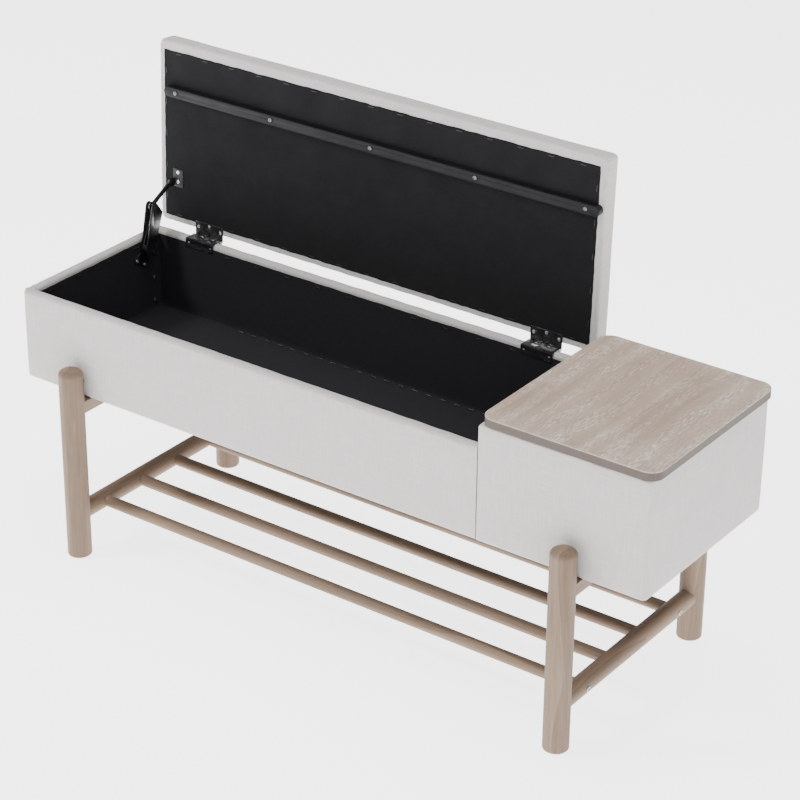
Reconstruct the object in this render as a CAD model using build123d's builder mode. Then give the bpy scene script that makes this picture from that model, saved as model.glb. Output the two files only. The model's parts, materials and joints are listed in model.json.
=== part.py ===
"""Storage bench with a padded flip-up lid, a wooden side table and a slatted shoe rack.

Millimetres. +Z is up and +X runs along the bench towards the side table; the front faces -Y.
Pieces are worked out from the point on the floor midway between the four legs, then moved together so that
the origin is on the floor under the middle of the open bench. The lid is modelled open, at rest on its stay.
"""

import os
from math import cos, radians, sin

from build123d import *

os.makedirs("parts", exist_ok=True)

# ---------------------------------------------------------------- driving dimensions
# box, measured over its fabric covers
box_length = 1166.0
box_depth = 330.0
box_bottom = 280.0           # height of the underside above the floor
rim_height = 433.0           # top of the storage rim
table_height = 486.0         # top of the side table
end_length = 287.0           # closed end section under the side table

panel = 12.0                 # plywood panels
padding = 4.0                # wadding and fabric on the outside faces
rim_padding = 3.0            # fabric and wadding over the rim
step_padding = 3.0           # fabric on the raised left face of the end section
top_padding = 2.0            # fabric between the end section and its board
wrap = 1.0                   # single fabric turned under and inside
wrap_reach = 28.0            # how far the covers turn under the bottom
inner_turn = 6.0             # how far the covers turn down inside the rim
lining_thickness = 1.0
seam_gap = 0.6               # groove where the two covers meet

corner_block = 20.0           # square blocks in the closed end's corners

# wooden side table
board_thickness = 15.0
board_end_overhang = 8.0
board_side_overhang = 3.0
board_setback = 4.0          # from the raised step to the board's left edge
board_corner = 22.0
board_edge = 1.5

# under-frame
leg_diameter = 40.0
leg_top = 336.0
leg_inset = 120.0            # leg centre to the end of the box
leg_spacer = 5.0             # between the box and a leg
leg_spacer_diameter = 12.0
leg_top_round = 9.0
leg_foot_round = 3.0
glide_diameter = 28.0
glide_thickness = 2.0
bearer_width = 34.0
bearer_height = 20.0
rail_diameter = 30.0
rail_height = 77.0           # centre of the lower cross rails above the floor
rod_diameter = 19.0
rod_end_gap = 39.5           # outer rods' centres to the inner side of the legs
rod_count = 4
saddle_clearance = 0.1       # between a coped end and the round it meets

# fasteners
frame_dowel_diameter = 10.0
frame_dowel_reach = 14.0     # into each of the two pieces
rod_dowel_diameter = 8.0
rod_dowel_reach = 12.0
hole_clearance = 0.1         # added to a hole's radius
leg_bolt_diameter = 6.0
leg_bolt_reach = 16.0        # into the leg
leg_bolt_head = 13.0
leg_bolt_head_height = 4.0
leg_bolt_drop = 28.0         # from the top of the leg
rod_bolt_diameter = 5.0
rod_bolt_reach = 32.0        # into the rod
rod_bolt_head = 9.0
rod_bolt_head_height = 4.0
rod_bolt_proud = 1.2         # head standing out of the rail
screw_diameter = 4.0
screw_head = 8.0
table_screw_reach = 10.0      # into the board
table_screw_end_inset = 30.0  # from the end section's inner faces
table_screw_side_inset = 40.0

# lid
lid_thickness = 50.0
lid_rear_inset = 5.0         # shut lid's rear edge to the rear face of the box
lid_front_inset = 9.0        # its front edge to the front face
lid_end_gap = 16.0           # lid's right edge to the raised step
lid_gap = 3.0                # under the shut lid, above the rim
lid_board = 12.0
lid_board_inset = 3.0
lid_side_round = 24.0        # crowned upper edges
lid_corner_round = 12.0
lid_lining_inset = 12.0
lid_lining_front_inset = 16.0
lid_open_angle = 92.0
batten_depth = 12.0
batten_width = 16.0
batten_from_hinge = 242.0
batten_end_gap = 3.0         # to the storage wall at one end and the lid's edge at the other
batten_screw_inset = 24.0
batten_screw_count = 5

# hinges
hinge_length = 58.0
hinge_plate = 1.2
hinge_knuckle_radius = 3.2
hinge_pin_radius = 1.6
hinge_pin_clearance = 0.05
hinge_behind = 4.0           # axis behind the rear face of the box
hinge_below_rim = 2.0        # axis below the rim
hinge_flange = 17.0          # depth of the flange inside the box
hinge_flange_screw = 8.0     # flange screws below the rim
hinge_leaf_reach = 25.0      # lid leaf along the lid
hinge_end_screw = 15.5       # lid leaf's outer screws from the axis
hinge_middle_screw = 20.0    # its middle screw from the axis
hinge_screw_inset = 6.0      # from a leaf's ends
hinge_from_left = 106.0      # hinge centre to the left end of the box
hinge_from_divider = 105.0   # hinge centre to the raised step
knuckle_count = 5
hinge_play = 0.3
small_screw = 3.0
small_head = 6.0
small_head_height = 1.6
small_screw_reach = 9.0      # beyond the plate that the screw holds
batten_screw_reach = 20.0

# lid stay, its points given from the hinge axis as (y, z) with the lid open
stay_box_pivot = (-50.6, -25.2)
stay_elbow = (-47.7, 55.8)
stay_lid_pivot = (1.6, 81.8)
stay_box_screws = ((-79.0, -36.0), (-60.0, -48.0))
channel_bottom = (-62.0, -20.0)
channel_top = (-38.0, 39.0)
stay_offset = 10.0           # lining of the left wall to the middle of the stay
stay_plate = 1.2
stay_ear = 7.0               # radius of the rounded ends of the stay's plates
stay_small_ear = 6.0
stay_large_ear = 8.0
channel_width = 14.0
channel_depth = 18.0
channel_slot = 5.0
channel_slot_end = 9.0        # the slot starts this far up and runs out of the upper end
arm_thickness = 3.0
arm_width = 8.0
rivet_radius = 2.5
rivet_head = 4.2
rivet_head_height = 1.5
elbow_clearance = 0.6        # radial play of the arm on the elbow rivet
pivot_clearance = 0.05       # radial play at the other two pivots
side_gap = 0.4               # between plates that lie side by side
spring_radius = 4.2
spring_hollow = 2.6
spring_length = 38.0
plunger_radius = 2.0
plunger_head = 3.0
bracket_width = 21.0
bracket_reach = 31.0
bracket_screws = (84.0, 100.5)   # along the lid from the hinge axis
bracket_screw_x = 11.0

# ---------------------------------------------------------------- places worked out from them
half_length = box_length / 2
half_depth = box_depth / 2
step_x = half_length - end_length                  # raised step and seam between the covers
panel_x = half_length - padding                    # outer faces of the end panels
panel_y = half_depth - padding                     # outer faces of the front and rear panels
inner_y = panel_y - panel
bottom_z = box_bottom + wrap                       # underside of the bottom panel
floor_z = bottom_z + panel                         # top of the bottom panel
rim_panel_z = rim_height - rim_padding
table_bottom = table_height - board_thickness
end_panel_top = table_bottom - top_padding
end_wall_z = end_panel_top - panel
divider_left = step_x + step_padding
divider_right = divider_left + panel
lining_top = rim_height - inner_turn
storage_left = -panel_x + panel
storage_right = divider_left

leg_radius = leg_diameter / 2
leg_x = half_length - leg_inset
leg_y = half_depth + leg_spacer + leg_radius
leg_bolt_z = leg_top - leg_bolt_drop
bearer_z = box_bottom - bearer_height / 2
rod_radius = rod_diameter / 2
rail_radius = rail_diameter / 2
rod_pitch = 2 * (leg_y - leg_radius - rod_end_gap) / (rod_count - 1)
rod_ys = [(index - (rod_count - 1) / 2) * rod_pitch for index in range(rod_count)]

hinge_y = half_depth + hinge_behind
hinge_z = rim_height - hinge_below_rim
shut_underside = rim_height + lid_gap - hinge_z    # lid's underside above the hinge axis when shut
lid_rear = half_depth - lid_rear_inset - hinge_y   # along the lid, from the hinge axis
lid_depth = box_depth - lid_rear_inset - lid_front_inset
lid_front = lid_rear - lid_depth
lid_left = -half_length
lid_right = step_x - lid_end_gap
lid_length = lid_right - lid_left
lid_middle = (lid_left + lid_right) / 2
hinge_xs = {"left": -half_length + hinge_from_left, "right": step_x - hinge_from_divider}

# from the middle of the legs to the middle of the open bench's outline
lid_back = (hinge_y + lid_front * cos(radians(lid_open_angle))
            + (shut_underside + lid_thickness) * sin(radians(lid_open_angle)))
legs_front = leg_y + leg_radius
to_origin = Location((-board_end_overhang / 2, -(lid_back - legs_front) / 2, 0))

# lid frame: x along the bench, y from the lid's front edge to the hinge, z out of its padded face
lid_plane = Plane(
    origin=(0, hinge_y, hinge_z),
    x_dir=(1, 0, 0),
    z_dir=(0, sin(radians(lid_open_angle)), cos(radians(lid_open_angle))),
)
# side frame, seen from the right: local x is the bench's +Y and local y is +Z
side_plane = Plane(origin=(0, 0, 0), x_dir=(0, 1, 0), z_dir=(1, 0, 0))
UP = (0, 0, 1)


def save(name, builder):
    """Move a finished piece to the shared origin, label it and write it to its own file."""
    piece = builder.part.moved(to_origin)
    piece.label = name
    export_step(piece, f"parts/{name}.step")


def block(x_range, y_range, z_range, mode=Mode.ADD):
    """A box between two corners."""
    sizes = [high - low for low, high in (x_range, y_range, z_range)]
    middle = [(low + high) / 2 for low, high in (x_range, y_range, z_range)]
    with Locations(tuple(middle)):
        Box(*sizes, mode=mode)


def pin(start, direction, radius, length, mode=Mode.ADD):
    """A round bar that runs from a point along a direction."""
    with Locations(Plane(origin=start, z_dir=direction)):
        Cylinder(radius, length, align=(Align.CENTER, Align.CENTER, Align.MIN), mode=mode)


def lid_block(x_range, y_range, z_range, mode=Mode.ADD):
    """A box between two corners of the lid frame."""
    sizes = [high - low for low, high in (x_range, y_range, z_range)]
    middle = [(low + high) / 2 for low, high in (x_range, y_range, z_range)]
    with Locations(lid_plane * Location(tuple(middle))):
        Box(*sizes, mode=mode)


def lid_point(x, y, z):
    """A point of the lid frame, in the bench's frame."""
    return lid_plane.from_local_coords((x, y, z))


lid_out = tuple(lid_plane.z_dir)                   # out of the padded face
lid_in = tuple(-lid_plane.z_dir)                   # out of the lining

# ---------------------------------------------------------------- screw places of the lid and its hardware
flange_y = inner_y - lining_thickness              # faces that the hardware is screwed to
left_wall_x = storage_left + lining_thickness
stay_x = left_wall_x + stay_offset
channel_left = stay_x - channel_width / 2
channel_right = stay_x + channel_width / 2
ear_left = stay_x + arm_thickness / 2 + side_gap   # lid bracket's ear, beside the arm
screw_x = ear_left + bracket_screw_x
leaf_screw_xs = {
    side: (x - hinge_length / 2 + hinge_screw_inset, x + hinge_length / 2 - hinge_screw_inset)
    for side, x in hinge_xs.items()
}
box_leaf_screws = {
    side: [(x, flange_y, rim_height - hinge_flange_screw) for x in xs] for side, xs in leaf_screw_xs.items()
}
lid_leaf_screws = {
    side: [lid_point(xs[0], -hinge_end_screw, shut_underside), lid_point(xs[1], -hinge_end_screw, shut_underside),
           lid_point(hinge_xs[side], -hinge_middle_screw, shut_underside)]
    for side, xs in leaf_screw_xs.items()
}
bracket_screws_at = [lid_point(screw_x, -along, shut_underside) for along in bracket_screws]
box_bracket_screws = [(left_wall_x, hinge_y + y, hinge_z + z) for y, z in stay_box_screws]
batten_left = left_wall_x + batten_end_gap
batten_right = lid_right - batten_end_gap
batten_pitch = (batten_right - batten_left - 2 * batten_screw_inset) / (batten_screw_count - 1)
batten_screws_at = [
    lid_point(batten_left + batten_screw_inset + index * batten_pitch, -batten_from_hinge,
              shut_underside - batten_depth)
    for index in range(batten_screw_count)
]


def drill(starts, direction, reach):
    """Clearance holes for small screws, from just outside each start and along a direction."""
    for start in starts:
        outside = Vector(*start) - Vector(*direction) * small_head
        pin(tuple(outside), direction, small_screw / 2 + hole_clearance, reach + small_head, mode=Mode.SUBTRACT)


def small_screws(starts, direction, reach, head_height):
    """Small screws whose heads start outside the plate and end on or in it."""
    for start in starts:
        pin(tuple(start), direction, small_screw / 2, reach)
        outside = Vector(*start) - Vector(*direction) * head_height
        pin(tuple(outside), direction, small_head / 2, head_height)


def side_plate(x_start, thickness, circles, mode=Mode.ADD):
    """A flat plate square to the bench's length: the hull of circles given as ((y, z), radius)."""
    with BuildSketch(side_plane.offset(x_start)) as outline:
        for centre, radius in circles:
            with Locations(centre):
                Circle(radius)
        if len(circles) > 1:
            make_hull()
    extrude(outline.sketch, amount=thickness, mode=mode)


def from_hinge(point):
    """A (y, z) point given from the hinge axis, in the bench's frame."""
    return hinge_y + point[0], hinge_z + point[1]


all_box_leaf_screws = box_leaf_screws["left"] + box_leaf_screws["right"]
all_lid_leaf_screws = lid_leaf_screws["left"] + lid_leaf_screws["right"]
all_lid_screws = all_lid_leaf_screws + bracket_screws_at

# ---------------------------------------------------------------- legs, glides and cross rails
legs = {
    "front_left": (-1, -1),
    "front_right": (1, -1),
    "rear_left": (-1, 1),
    "rear_right": (1, 1),
}

for corner_name, (side_x, side_y) in legs.items():
    inward = (0, -side_y, 0)
    with BuildPart() as leg:
        pin((side_x * leg_x, side_y * leg_y, glide_thickness), UP, leg_radius, leg_top - glide_thickness)
        rims = leg.edges().filter_by(GeomType.CIRCLE).sort_by(Axis.Z)
        fillet(rims[-1], radius=leg_top_round)
        fillet(rims[0], radius=leg_foot_round)
        socket_y = side_y * (leg_y - leg_radius + frame_dowel_reach)
        for height in (bearer_z, rail_height):
            pin((side_x * leg_x, socket_y, height), inward,
                frame_dowel_diameter / 2 + hole_clearance, 2 * frame_dowel_reach, mode=Mode.SUBTRACT)
        bolt_y = side_y * (leg_y - leg_radius + leg_bolt_reach)
        pin((side_x * leg_x, bolt_y, leg_bolt_z), inward,
            leg_bolt_diameter / 2 + hole_clearance, 2 * leg_bolt_reach, mode=Mode.SUBTRACT)
    save(f"leg_{corner_name}", leg)

with BuildPart() as glides:
    for side_x, side_y in legs.values():
        pin((side_x * leg_x, side_y * leg_y, 0), UP, glide_diameter / 2, glide_thickness)
save("glides", glides)

bearer_screw_ys = (-half_depth / 2, half_depth / 2)
frame_joint_y = leg_y - leg_radius                 # inner side of the legs
bolted_rods = (rod_ys[0], rod_ys[-1])
dowelled_rods = rod_ys[1:-1]
rod_bolt_seat = rail_radius + rod_bolt_proud - rod_bolt_head_height
rod_end = leg_x - rail_radius                      # inner side of the cross rails

for side_name, side_x in (("left", -1), ("right", 1)):
    x = side_x * leg_x
    with BuildPart() as bearer:
        block((x - bearer_width / 2, x + bearer_width / 2), (-leg_y, leg_y), (box_bottom - bearer_height, box_bottom))
        for side_y in (-1, 1):
            pin((x, side_y * leg_y, box_bottom - 2 * bearer_height), UP,
                leg_radius + saddle_clearance, 4 * bearer_height, mode=Mode.SUBTRACT)
            pin((x, side_y * leg_y, bearer_z), (0, -side_y, 0),
                frame_dowel_diameter / 2 + hole_clearance, leg_radius + frame_dowel_reach, mode=Mode.SUBTRACT)
        for y in bearer_screw_ys:
            pin((x, y, box_bottom - bearer_height), UP,
                screw_diameter / 2 + hole_clearance, bearer_height, mode=Mode.SUBTRACT)
            pin((x, y, box_bottom - bearer_height), UP,
                screw_head / 2 + hole_clearance, screw_diameter, mode=Mode.SUBTRACT)
    save(f"bearer_{side_name}", bearer)

    with BuildPart() as rail:
        pin((x, -leg_y, rail_height), (0, 1, 0), rail_radius, 2 * leg_y)
        for side_y in (-1, 1):
            pin((x, side_y * leg_y, rail_height - 2 * rail_radius), UP,
                leg_radius + saddle_clearance, 4 * rail_radius, mode=Mode.SUBTRACT)
            pin((x, side_y * leg_y, rail_height), (0, -side_y, 0),
                frame_dowel_diameter / 2 + hole_clearance, leg_radius + frame_dowel_reach, mode=Mode.SUBTRACT)
        for y in bolted_rods:
            pin((x - side_x * 2 * rail_radius, y, rail_height), (side_x, 0, 0),
                rod_bolt_diameter / 2 + hole_clearance, 4 * rail_radius, mode=Mode.SUBTRACT)
            pin((x + side_x * rod_bolt_seat, y, rail_height), (side_x, 0, 0),
                rod_bolt_head / 2 + hole_clearance, 2 * rail_radius, mode=Mode.SUBTRACT)
        for y in dowelled_rods:
            pin((x - side_x * (rail_radius - rod_dowel_reach), y, rail_height), (-side_x, 0, 0),
                rod_dowel_diameter / 2 + hole_clearance, 2 * rod_dowel_reach, mode=Mode.SUBTRACT)
    save(f"lower_rail_{side_name}", rail)

for number, y in enumerate(rod_ys, start=1):
    with BuildPart() as rod:
        pin((-leg_x, y, rail_height), (1, 0, 0), rod_radius, 2 * leg_x)
        for side_x in (-1, 1):
            pin((side_x * leg_x, y - rod_diameter, rail_height), (0, 1, 0),
                rail_radius + saddle_clearance, 2 * rod_diameter, mode=Mode.SUBTRACT)
            if y in bolted_rods:
                hole_radius, hole_reach = rod_bolt_diameter / 2 + hole_clearance, rod_bolt_reach
            else:
                hole_radius, hole_reach = rod_dowel_diameter / 2 + hole_clearance, rod_dowel_reach
            pin((side_x * leg_x, y, rail_height), (-side_x, 0, 0),
                hole_radius, rail_radius + hole_reach, mode=Mode.SUBTRACT)
    save(f"shelf_rod_{number}", rod)

# ---------------------------------------------------------------- fasteners of the under-frame
with BuildPart() as frame_dowels:
    for side_x, side_y in legs.values():
        for height in (bearer_z, rail_height):
            pin((side_x * leg_x, side_y * (frame_joint_y + frame_dowel_reach), height), (0, -side_y, 0),
                frame_dowel_diameter / 2, 2 * frame_dowel_reach)
save("frame_dowels", frame_dowels)

with BuildPart() as rod_dowels:
    for side_x in (-1, 1):
        for y in dowelled_rods:
            pin((side_x * (rod_end + rod_dowel_reach), y, rail_height), (-side_x, 0, 0),
                rod_dowel_diameter / 2, 2 * rod_dowel_reach)
save("rod_dowels", rod_dowels)

with BuildPart() as rod_bolts:
    for side_x in (-1, 1):
        for y in bolted_rods:
            seat = side_x * (leg_x + rod_bolt_seat)
            pin((seat, y, rail_height), (side_x, 0, 0), rod_bolt_head / 2, rod_bolt_head_height)
            pin((seat, y, rail_height), (-side_x, 0, 0), rod_bolt_diameter / 2,
                rod_bolt_seat + rail_radius + rod_bolt_reach)
    outer_rims = rod_bolts.edges().filter_by(GeomType.CIRCLE).group_by(Axis.X)
    for rims in (outer_rims[0], outer_rims[-1]):
        fillet(rims, radius=rod_bolt_proud)
    for side_x in (-1, 1):
        for y in bolted_rods:
            tip = side_x * (leg_x + rod_bolt_seat + rod_bolt_head_height)
            with BuildSketch(Plane(origin=(tip, y, rail_height), z_dir=(-side_x, 0, 0))):
                RegularPolygon(radius=rod_bolt_head / 4, side_count=6)
            extrude(amount=rod_bolt_head_height / 2, mode=Mode.SUBTRACT)
save("rod_bolts", rod_bolts)

with BuildPart() as bearer_screws:
    for side_x in (-1, 1):
        for y in bearer_screw_ys:
            start = (side_x * leg_x, y, box_bottom - bearer_height)
            pin(start, UP, screw_head / 2, screw_diameter)
            pin(start, UP, screw_diameter / 2, bearer_height + panel / 2)
save("bearer_screws", bearer_screws)

leg_bolt_seat = inner_y + leg_bolt_head_height     # the head is let into the inside of the panel
with BuildPart() as leg_bolts:
    for side_x, side_y in legs.values():
        seat = (side_x * leg_x, side_y * leg_bolt_seat, leg_bolt_z)
        pin(seat, (0, -side_y, 0), leg_bolt_head / 2, leg_bolt_head_height)
        pin(seat, (0, side_y, 0), leg_bolt_diameter / 2, frame_joint_y + leg_bolt_reach - leg_bolt_seat)
save("leg_bolts", leg_bolts)

with BuildPart() as leg_spacers:
    for side_x, side_y in legs.values():
        start = (side_x * leg_x, side_y * half_depth, leg_bolt_z)
        pin(start, (0, side_y, 0), leg_spacer_diameter / 2, leg_spacer)
        pin(start, (0, side_y, 0), leg_bolt_diameter / 2 + hole_clearance, leg_spacer, mode=Mode.SUBTRACT)
save("leg_spacers", leg_spacers)


def leg_bolt_holes(side_y):
    """Holes for the leg bolts through a long panel and its cover, with the heads let in from inside."""
    for side_x in (-1, 1):
        start = (side_x * leg_x, side_y * (inner_y - panel), leg_bolt_z)
        pin(start, (0, side_y, 0), leg_bolt_diameter / 2 + hole_clearance, 3 * panel, mode=Mode.SUBTRACT)
        pin(start, (0, side_y, 0), leg_bolt_head / 2 + hole_clearance,
            panel + leg_bolt_head_height, mode=Mode.SUBTRACT)


# ---------------------------------------------------------------- box panels
with BuildPart() as bottom_panel:
    block((-panel_x, panel_x), (-panel_y, panel_y), (bottom_z, floor_z))
    for side_x in (-1, 1):
        for y in bearer_screw_ys:
            pin((side_x * leg_x, y, box_bottom), UP, screw_diameter / 2 + hole_clearance,
                wrap + panel / 2, mode=Mode.SUBTRACT)
save("bottom_panel", bottom_panel)

for panel_name, side_y in (("front_panel", -1), ("rear_panel", 1)):
    with BuildPart() as long_panel:
        ys = sorted((side_y * inner_y, side_y * panel_y))
        block((-panel_x, divider_left), ys, (floor_z, rim_panel_z))
        block((divider_left, panel_x), ys, (floor_z, end_wall_z))
        leg_bolt_holes(side_y)
        if side_y > 0:
            drill(all_box_leaf_screws, (0, 1, 0), small_screw_reach)
    save(panel_name, long_panel)

with BuildPart() as left_panel:
    block((-panel_x, storage_left), (-inner_y, inner_y), (floor_z, rim_panel_z))
    drill(box_bracket_screws, (-1, 0, 0), small_screw_reach)
save("left_panel", left_panel)

with BuildPart() as right_panel:
    block((panel_x - panel, panel_x), (-inner_y, inner_y), (floor_z, end_wall_z))
save("right_panel", right_panel)

with BuildPart() as divider_panel:
    block((divider_left, divider_right), (-inner_y, inner_y), (floor_z, end_wall_z))
save("divider_panel", divider_panel)

end_inner_xs = (divider_right, panel_x - panel)
with BuildPart() as corner_blocks:
    for inner_x, direction in zip(end_inner_xs, (1, -1)):
        for side_y in (-1, 1):
            block(sorted((inner_x, inner_x + direction * corner_block)),
                  sorted((side_y * inner_y, side_y * (inner_y - corner_block))),
                  (floor_z, end_wall_z))
    for side_y in (-1, 1):
        pin((leg_x, side_y * inner_y, leg_bolt_z), (0, -side_y, 0), leg_bolt_head, corner_block, mode=Mode.SUBTRACT)
save("corner_blocks", corner_blocks)

# ---------------------------------------------------------------- side table
board_left = step_x + board_setback
board_right = half_length + board_end_overhang
board_half_depth = half_depth + board_side_overhang
board_middle = (board_left + board_right) / 2
table_screw_x = (end_inner_xs[1] - end_inner_xs[0]) / 2 - table_screw_end_inset
table_screw_y = inner_y - table_screw_side_inset
table_screws_at = [(board_middle + sx * table_screw_x, sy * table_screw_y) for sx in (-1, 1) for sy in (-1, 1)]

with BuildPart() as end_top_panel:
    block((divider_left, panel_x), (-panel_y, panel_y), (end_wall_z, end_panel_top))
    for x, y in table_screws_at:
        pin((x, y, end_wall_z), UP, screw_diameter / 2 + hole_clearance, panel, mode=Mode.SUBTRACT)
        pin((x, y, end_wall_z), UP, screw_head / 2 + hole_clearance, screw_diameter, mode=Mode.SUBTRACT)
save("end_top_panel", end_top_panel)

with BuildPart() as side_table_board:
    with BuildSketch(Plane.XY.offset(table_bottom)):
        with Locations((board_middle, 0)):
            RectangleRounded(board_right - board_left, 2 * board_half_depth, board_corner)
    extrude(amount=board_thickness)
    fillet(side_table_board.faces().filter_by(Axis.Z).edges(), radius=board_edge)
    for x, y in table_screws_at:
        pin((x, y, table_bottom), UP, screw_diameter / 2 + hole_clearance, table_screw_reach, mode=Mode.SUBTRACT)
save("side_table_board", side_table_board)

with BuildPart() as table_screws:
    for x, y in table_screws_at:
        pin((x, y, end_wall_z), UP, screw_head / 2, screw_diameter)
        pin((x, y, end_wall_z), UP, screw_diameter / 2, panel + top_padding + table_screw_reach)
save("table_screws", table_screws)

# ---------------------------------------------------------------- fabric covers and linings
cover_seam = step_x - seam_gap
with BuildPart() as storage_cover:
    block((-half_length, cover_seam), (-half_depth, half_depth), (box_bottom, rim_height))
    block((-panel_x, step_x), (-panel_y, panel_y), (bottom_z, rim_panel_z), mode=Mode.SUBTRACT)
    block((storage_left + wrap, step_x), (wrap - inner_y, inner_y - wrap), (bottom_z, rim_height + wrap),
          mode=Mode.SUBTRACT)
    block((storage_left, step_x), (-inner_y, inner_y), (bottom_z, lining_top), mode=Mode.SUBTRACT)
    block((wrap_reach - half_length, step_x), (wrap_reach - half_depth, half_depth - wrap_reach),
          (box_bottom, bottom_z), mode=Mode.SUBTRACT)
    for side_y in (-1, 1):
        pin((-leg_x, side_y * inner_y, leg_bolt_z), (0, side_y, 0), leg_bolt_diameter / 2 + hole_clearance,
            2 * panel, mode=Mode.SUBTRACT)
    for y in bearer_screw_ys:
        pin((-leg_x, y, box_bottom), UP, screw_diameter / 2 + hole_clearance, wrap, mode=Mode.SUBTRACT)
    drill(all_box_leaf_screws, (0, 1, 0), small_screw_reach)
save("storage_cover", storage_cover)

with BuildPart() as end_cover:
    block((step_x, half_length), (-half_depth, half_depth), (box_bottom, table_bottom))
    block((divider_left, panel_x), (-panel_y, panel_y), (bottom_z, end_panel_top), mode=Mode.SUBTRACT)
    block((step_x, divider_left), (-panel_y, panel_y), (bottom_z, rim_panel_z), mode=Mode.SUBTRACT)
    block((step_x, divider_left), (-inner_y, inner_y), (lining_top, rim_panel_z))
    block((step_x, half_length - wrap_reach), (wrap_reach - half_depth, half_depth - wrap_reach),
          (box_bottom, bottom_z), mode=Mode.SUBTRACT)
    for side_y in (-1, 1):
        pin((leg_x, side_y * inner_y, leg_bolt_z), (0, side_y, 0), leg_bolt_diameter / 2 + hole_clearance,
            2 * panel, mode=Mode.SUBTRACT)
    for y in bearer_screw_ys:
        pin((leg_x, y, box_bottom), UP, screw_diameter / 2 + hole_clearance, wrap, mode=Mode.SUBTRACT)
    for x, y in table_screws_at:
        pin((x, y, end_panel_top), UP, screw_diameter / 2 + hole_clearance, top_padding, mode=Mode.SUBTRACT)
save("end_cover", end_cover)

with BuildPart() as dust_cover:
    block((wrap_reach - half_length, half_length - wrap_reach), (wrap_reach - half_depth, half_depth - wrap_reach),
          (box_bottom, bottom_z))
    for side_x in (-1, 1):
        for y in bearer_screw_ys:
            pin((side_x * leg_x, y, box_bottom), UP, screw_diameter / 2 + hole_clearance, wrap, mode=Mode.SUBTRACT)
save("dust_cover", dust_cover)

with BuildPart() as storage_lining:
    block((storage_left, storage_right), (-inner_y, inner_y), (floor_z, lining_top))
    block((storage_left + lining_thickness, storage_right - lining_thickness),
          (lining_thickness - inner_y, inner_y - lining_thickness),
          (floor_z + lining_thickness, rim_height), mode=Mode.SUBTRACT)
    drill(all_box_leaf_screws, (0, 1, 0), small_screw_reach)
    drill(box_bracket_screws, (-1, 0, 0), small_screw_reach)
save("storage_lining", storage_lining)

# ---------------------------------------------------------------- lid
lid_board_low = shut_underside + lining_thickness
with BuildPart() as lid_board_piece:
    lid_block((lid_left + lid_board_inset, lid_right - lid_board_inset),
              (lid_front + lid_board_inset, lid_rear - lid_board_inset),
              (lid_board_low, lid_board_low + lid_board))
    drill(all_lid_screws, lid_out, small_screw_reach)
    drill(batten_screws_at, lid_out, batten_screw_reach)
save("lid_board", lid_board_piece)

with BuildPart() as lid_cushion:
    with BuildSketch(lid_plane.offset(shut_underside)):
        with Locations((lid_middle, (lid_front + lid_rear) / 2)):
            RectangleRounded(lid_length, lid_depth, lid_corner_round)
    extrude(amount=lid_thickness)
    padded_face = lid_cushion.faces().filter_by(lambda face: face.normal_at().dot(lid_plane.z_dir) > 0.99)
    fillet(padded_face.edges(), radius=lid_side_round)
    lid_block((lid_left + lid_board_inset, lid_right - lid_board_inset),
              (lid_front + lid_board_inset, lid_rear - lid_board_inset),
              (lid_board_low, lid_board_low + lid_board), mode=Mode.SUBTRACT)
    lid_block((lid_left + lid_lining_inset, lid_right - lid_lining_inset),
              (lid_front + lid_lining_front_inset, lid_rear - lid_lining_inset),
              (shut_underside, lid_board_low), mode=Mode.SUBTRACT)
    drill(all_lid_leaf_screws, lid_out, small_screw_reach)
save("lid_cushion", lid_cushion)

with BuildPart() as lid_lining:
    lid_block((lid_left + lid_lining_inset, lid_right - lid_lining_inset),
              (lid_front + lid_lining_front_inset, lid_rear - lid_lining_inset),
              (shut_underside, lid_board_low))
    drill(all_lid_screws, lid_out, small_screw_reach)
    drill(batten_screws_at, lid_out, batten_screw_reach)
save("lid_lining", lid_lining)

with BuildPart() as lid_batten:
    with BuildSketch(lid_plane.offset(shut_underside - batten_depth)):
        with Locations(((batten_left + batten_right) / 2, -batten_from_hinge)):
            SlotOverall(batten_right - batten_left, batten_width)
    extrude(amount=batten_depth)
    drill(batten_screws_at, lid_out, batten_screw_reach)
save("lid_batten", lid_batten)

with BuildPart() as batten_screws:
    small_screws(batten_screws_at, lid_out, batten_screw_reach, small_head_height)
save("batten_screws", batten_screws)

# ---------------------------------------------------------------- hinges
knuckle_length = hinge_length / knuckle_count
knuckle_hole = hinge_pin_radius + hinge_pin_clearance
web_reach = hinge_pin_radius + hinge_plate
leaf_low = shut_underside - hinge_plate
turning_room = (web_reach ** 2 + shut_underside ** 2) ** 0.5 + hinge_play
axis_point = (hinge_y, hinge_z)

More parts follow.
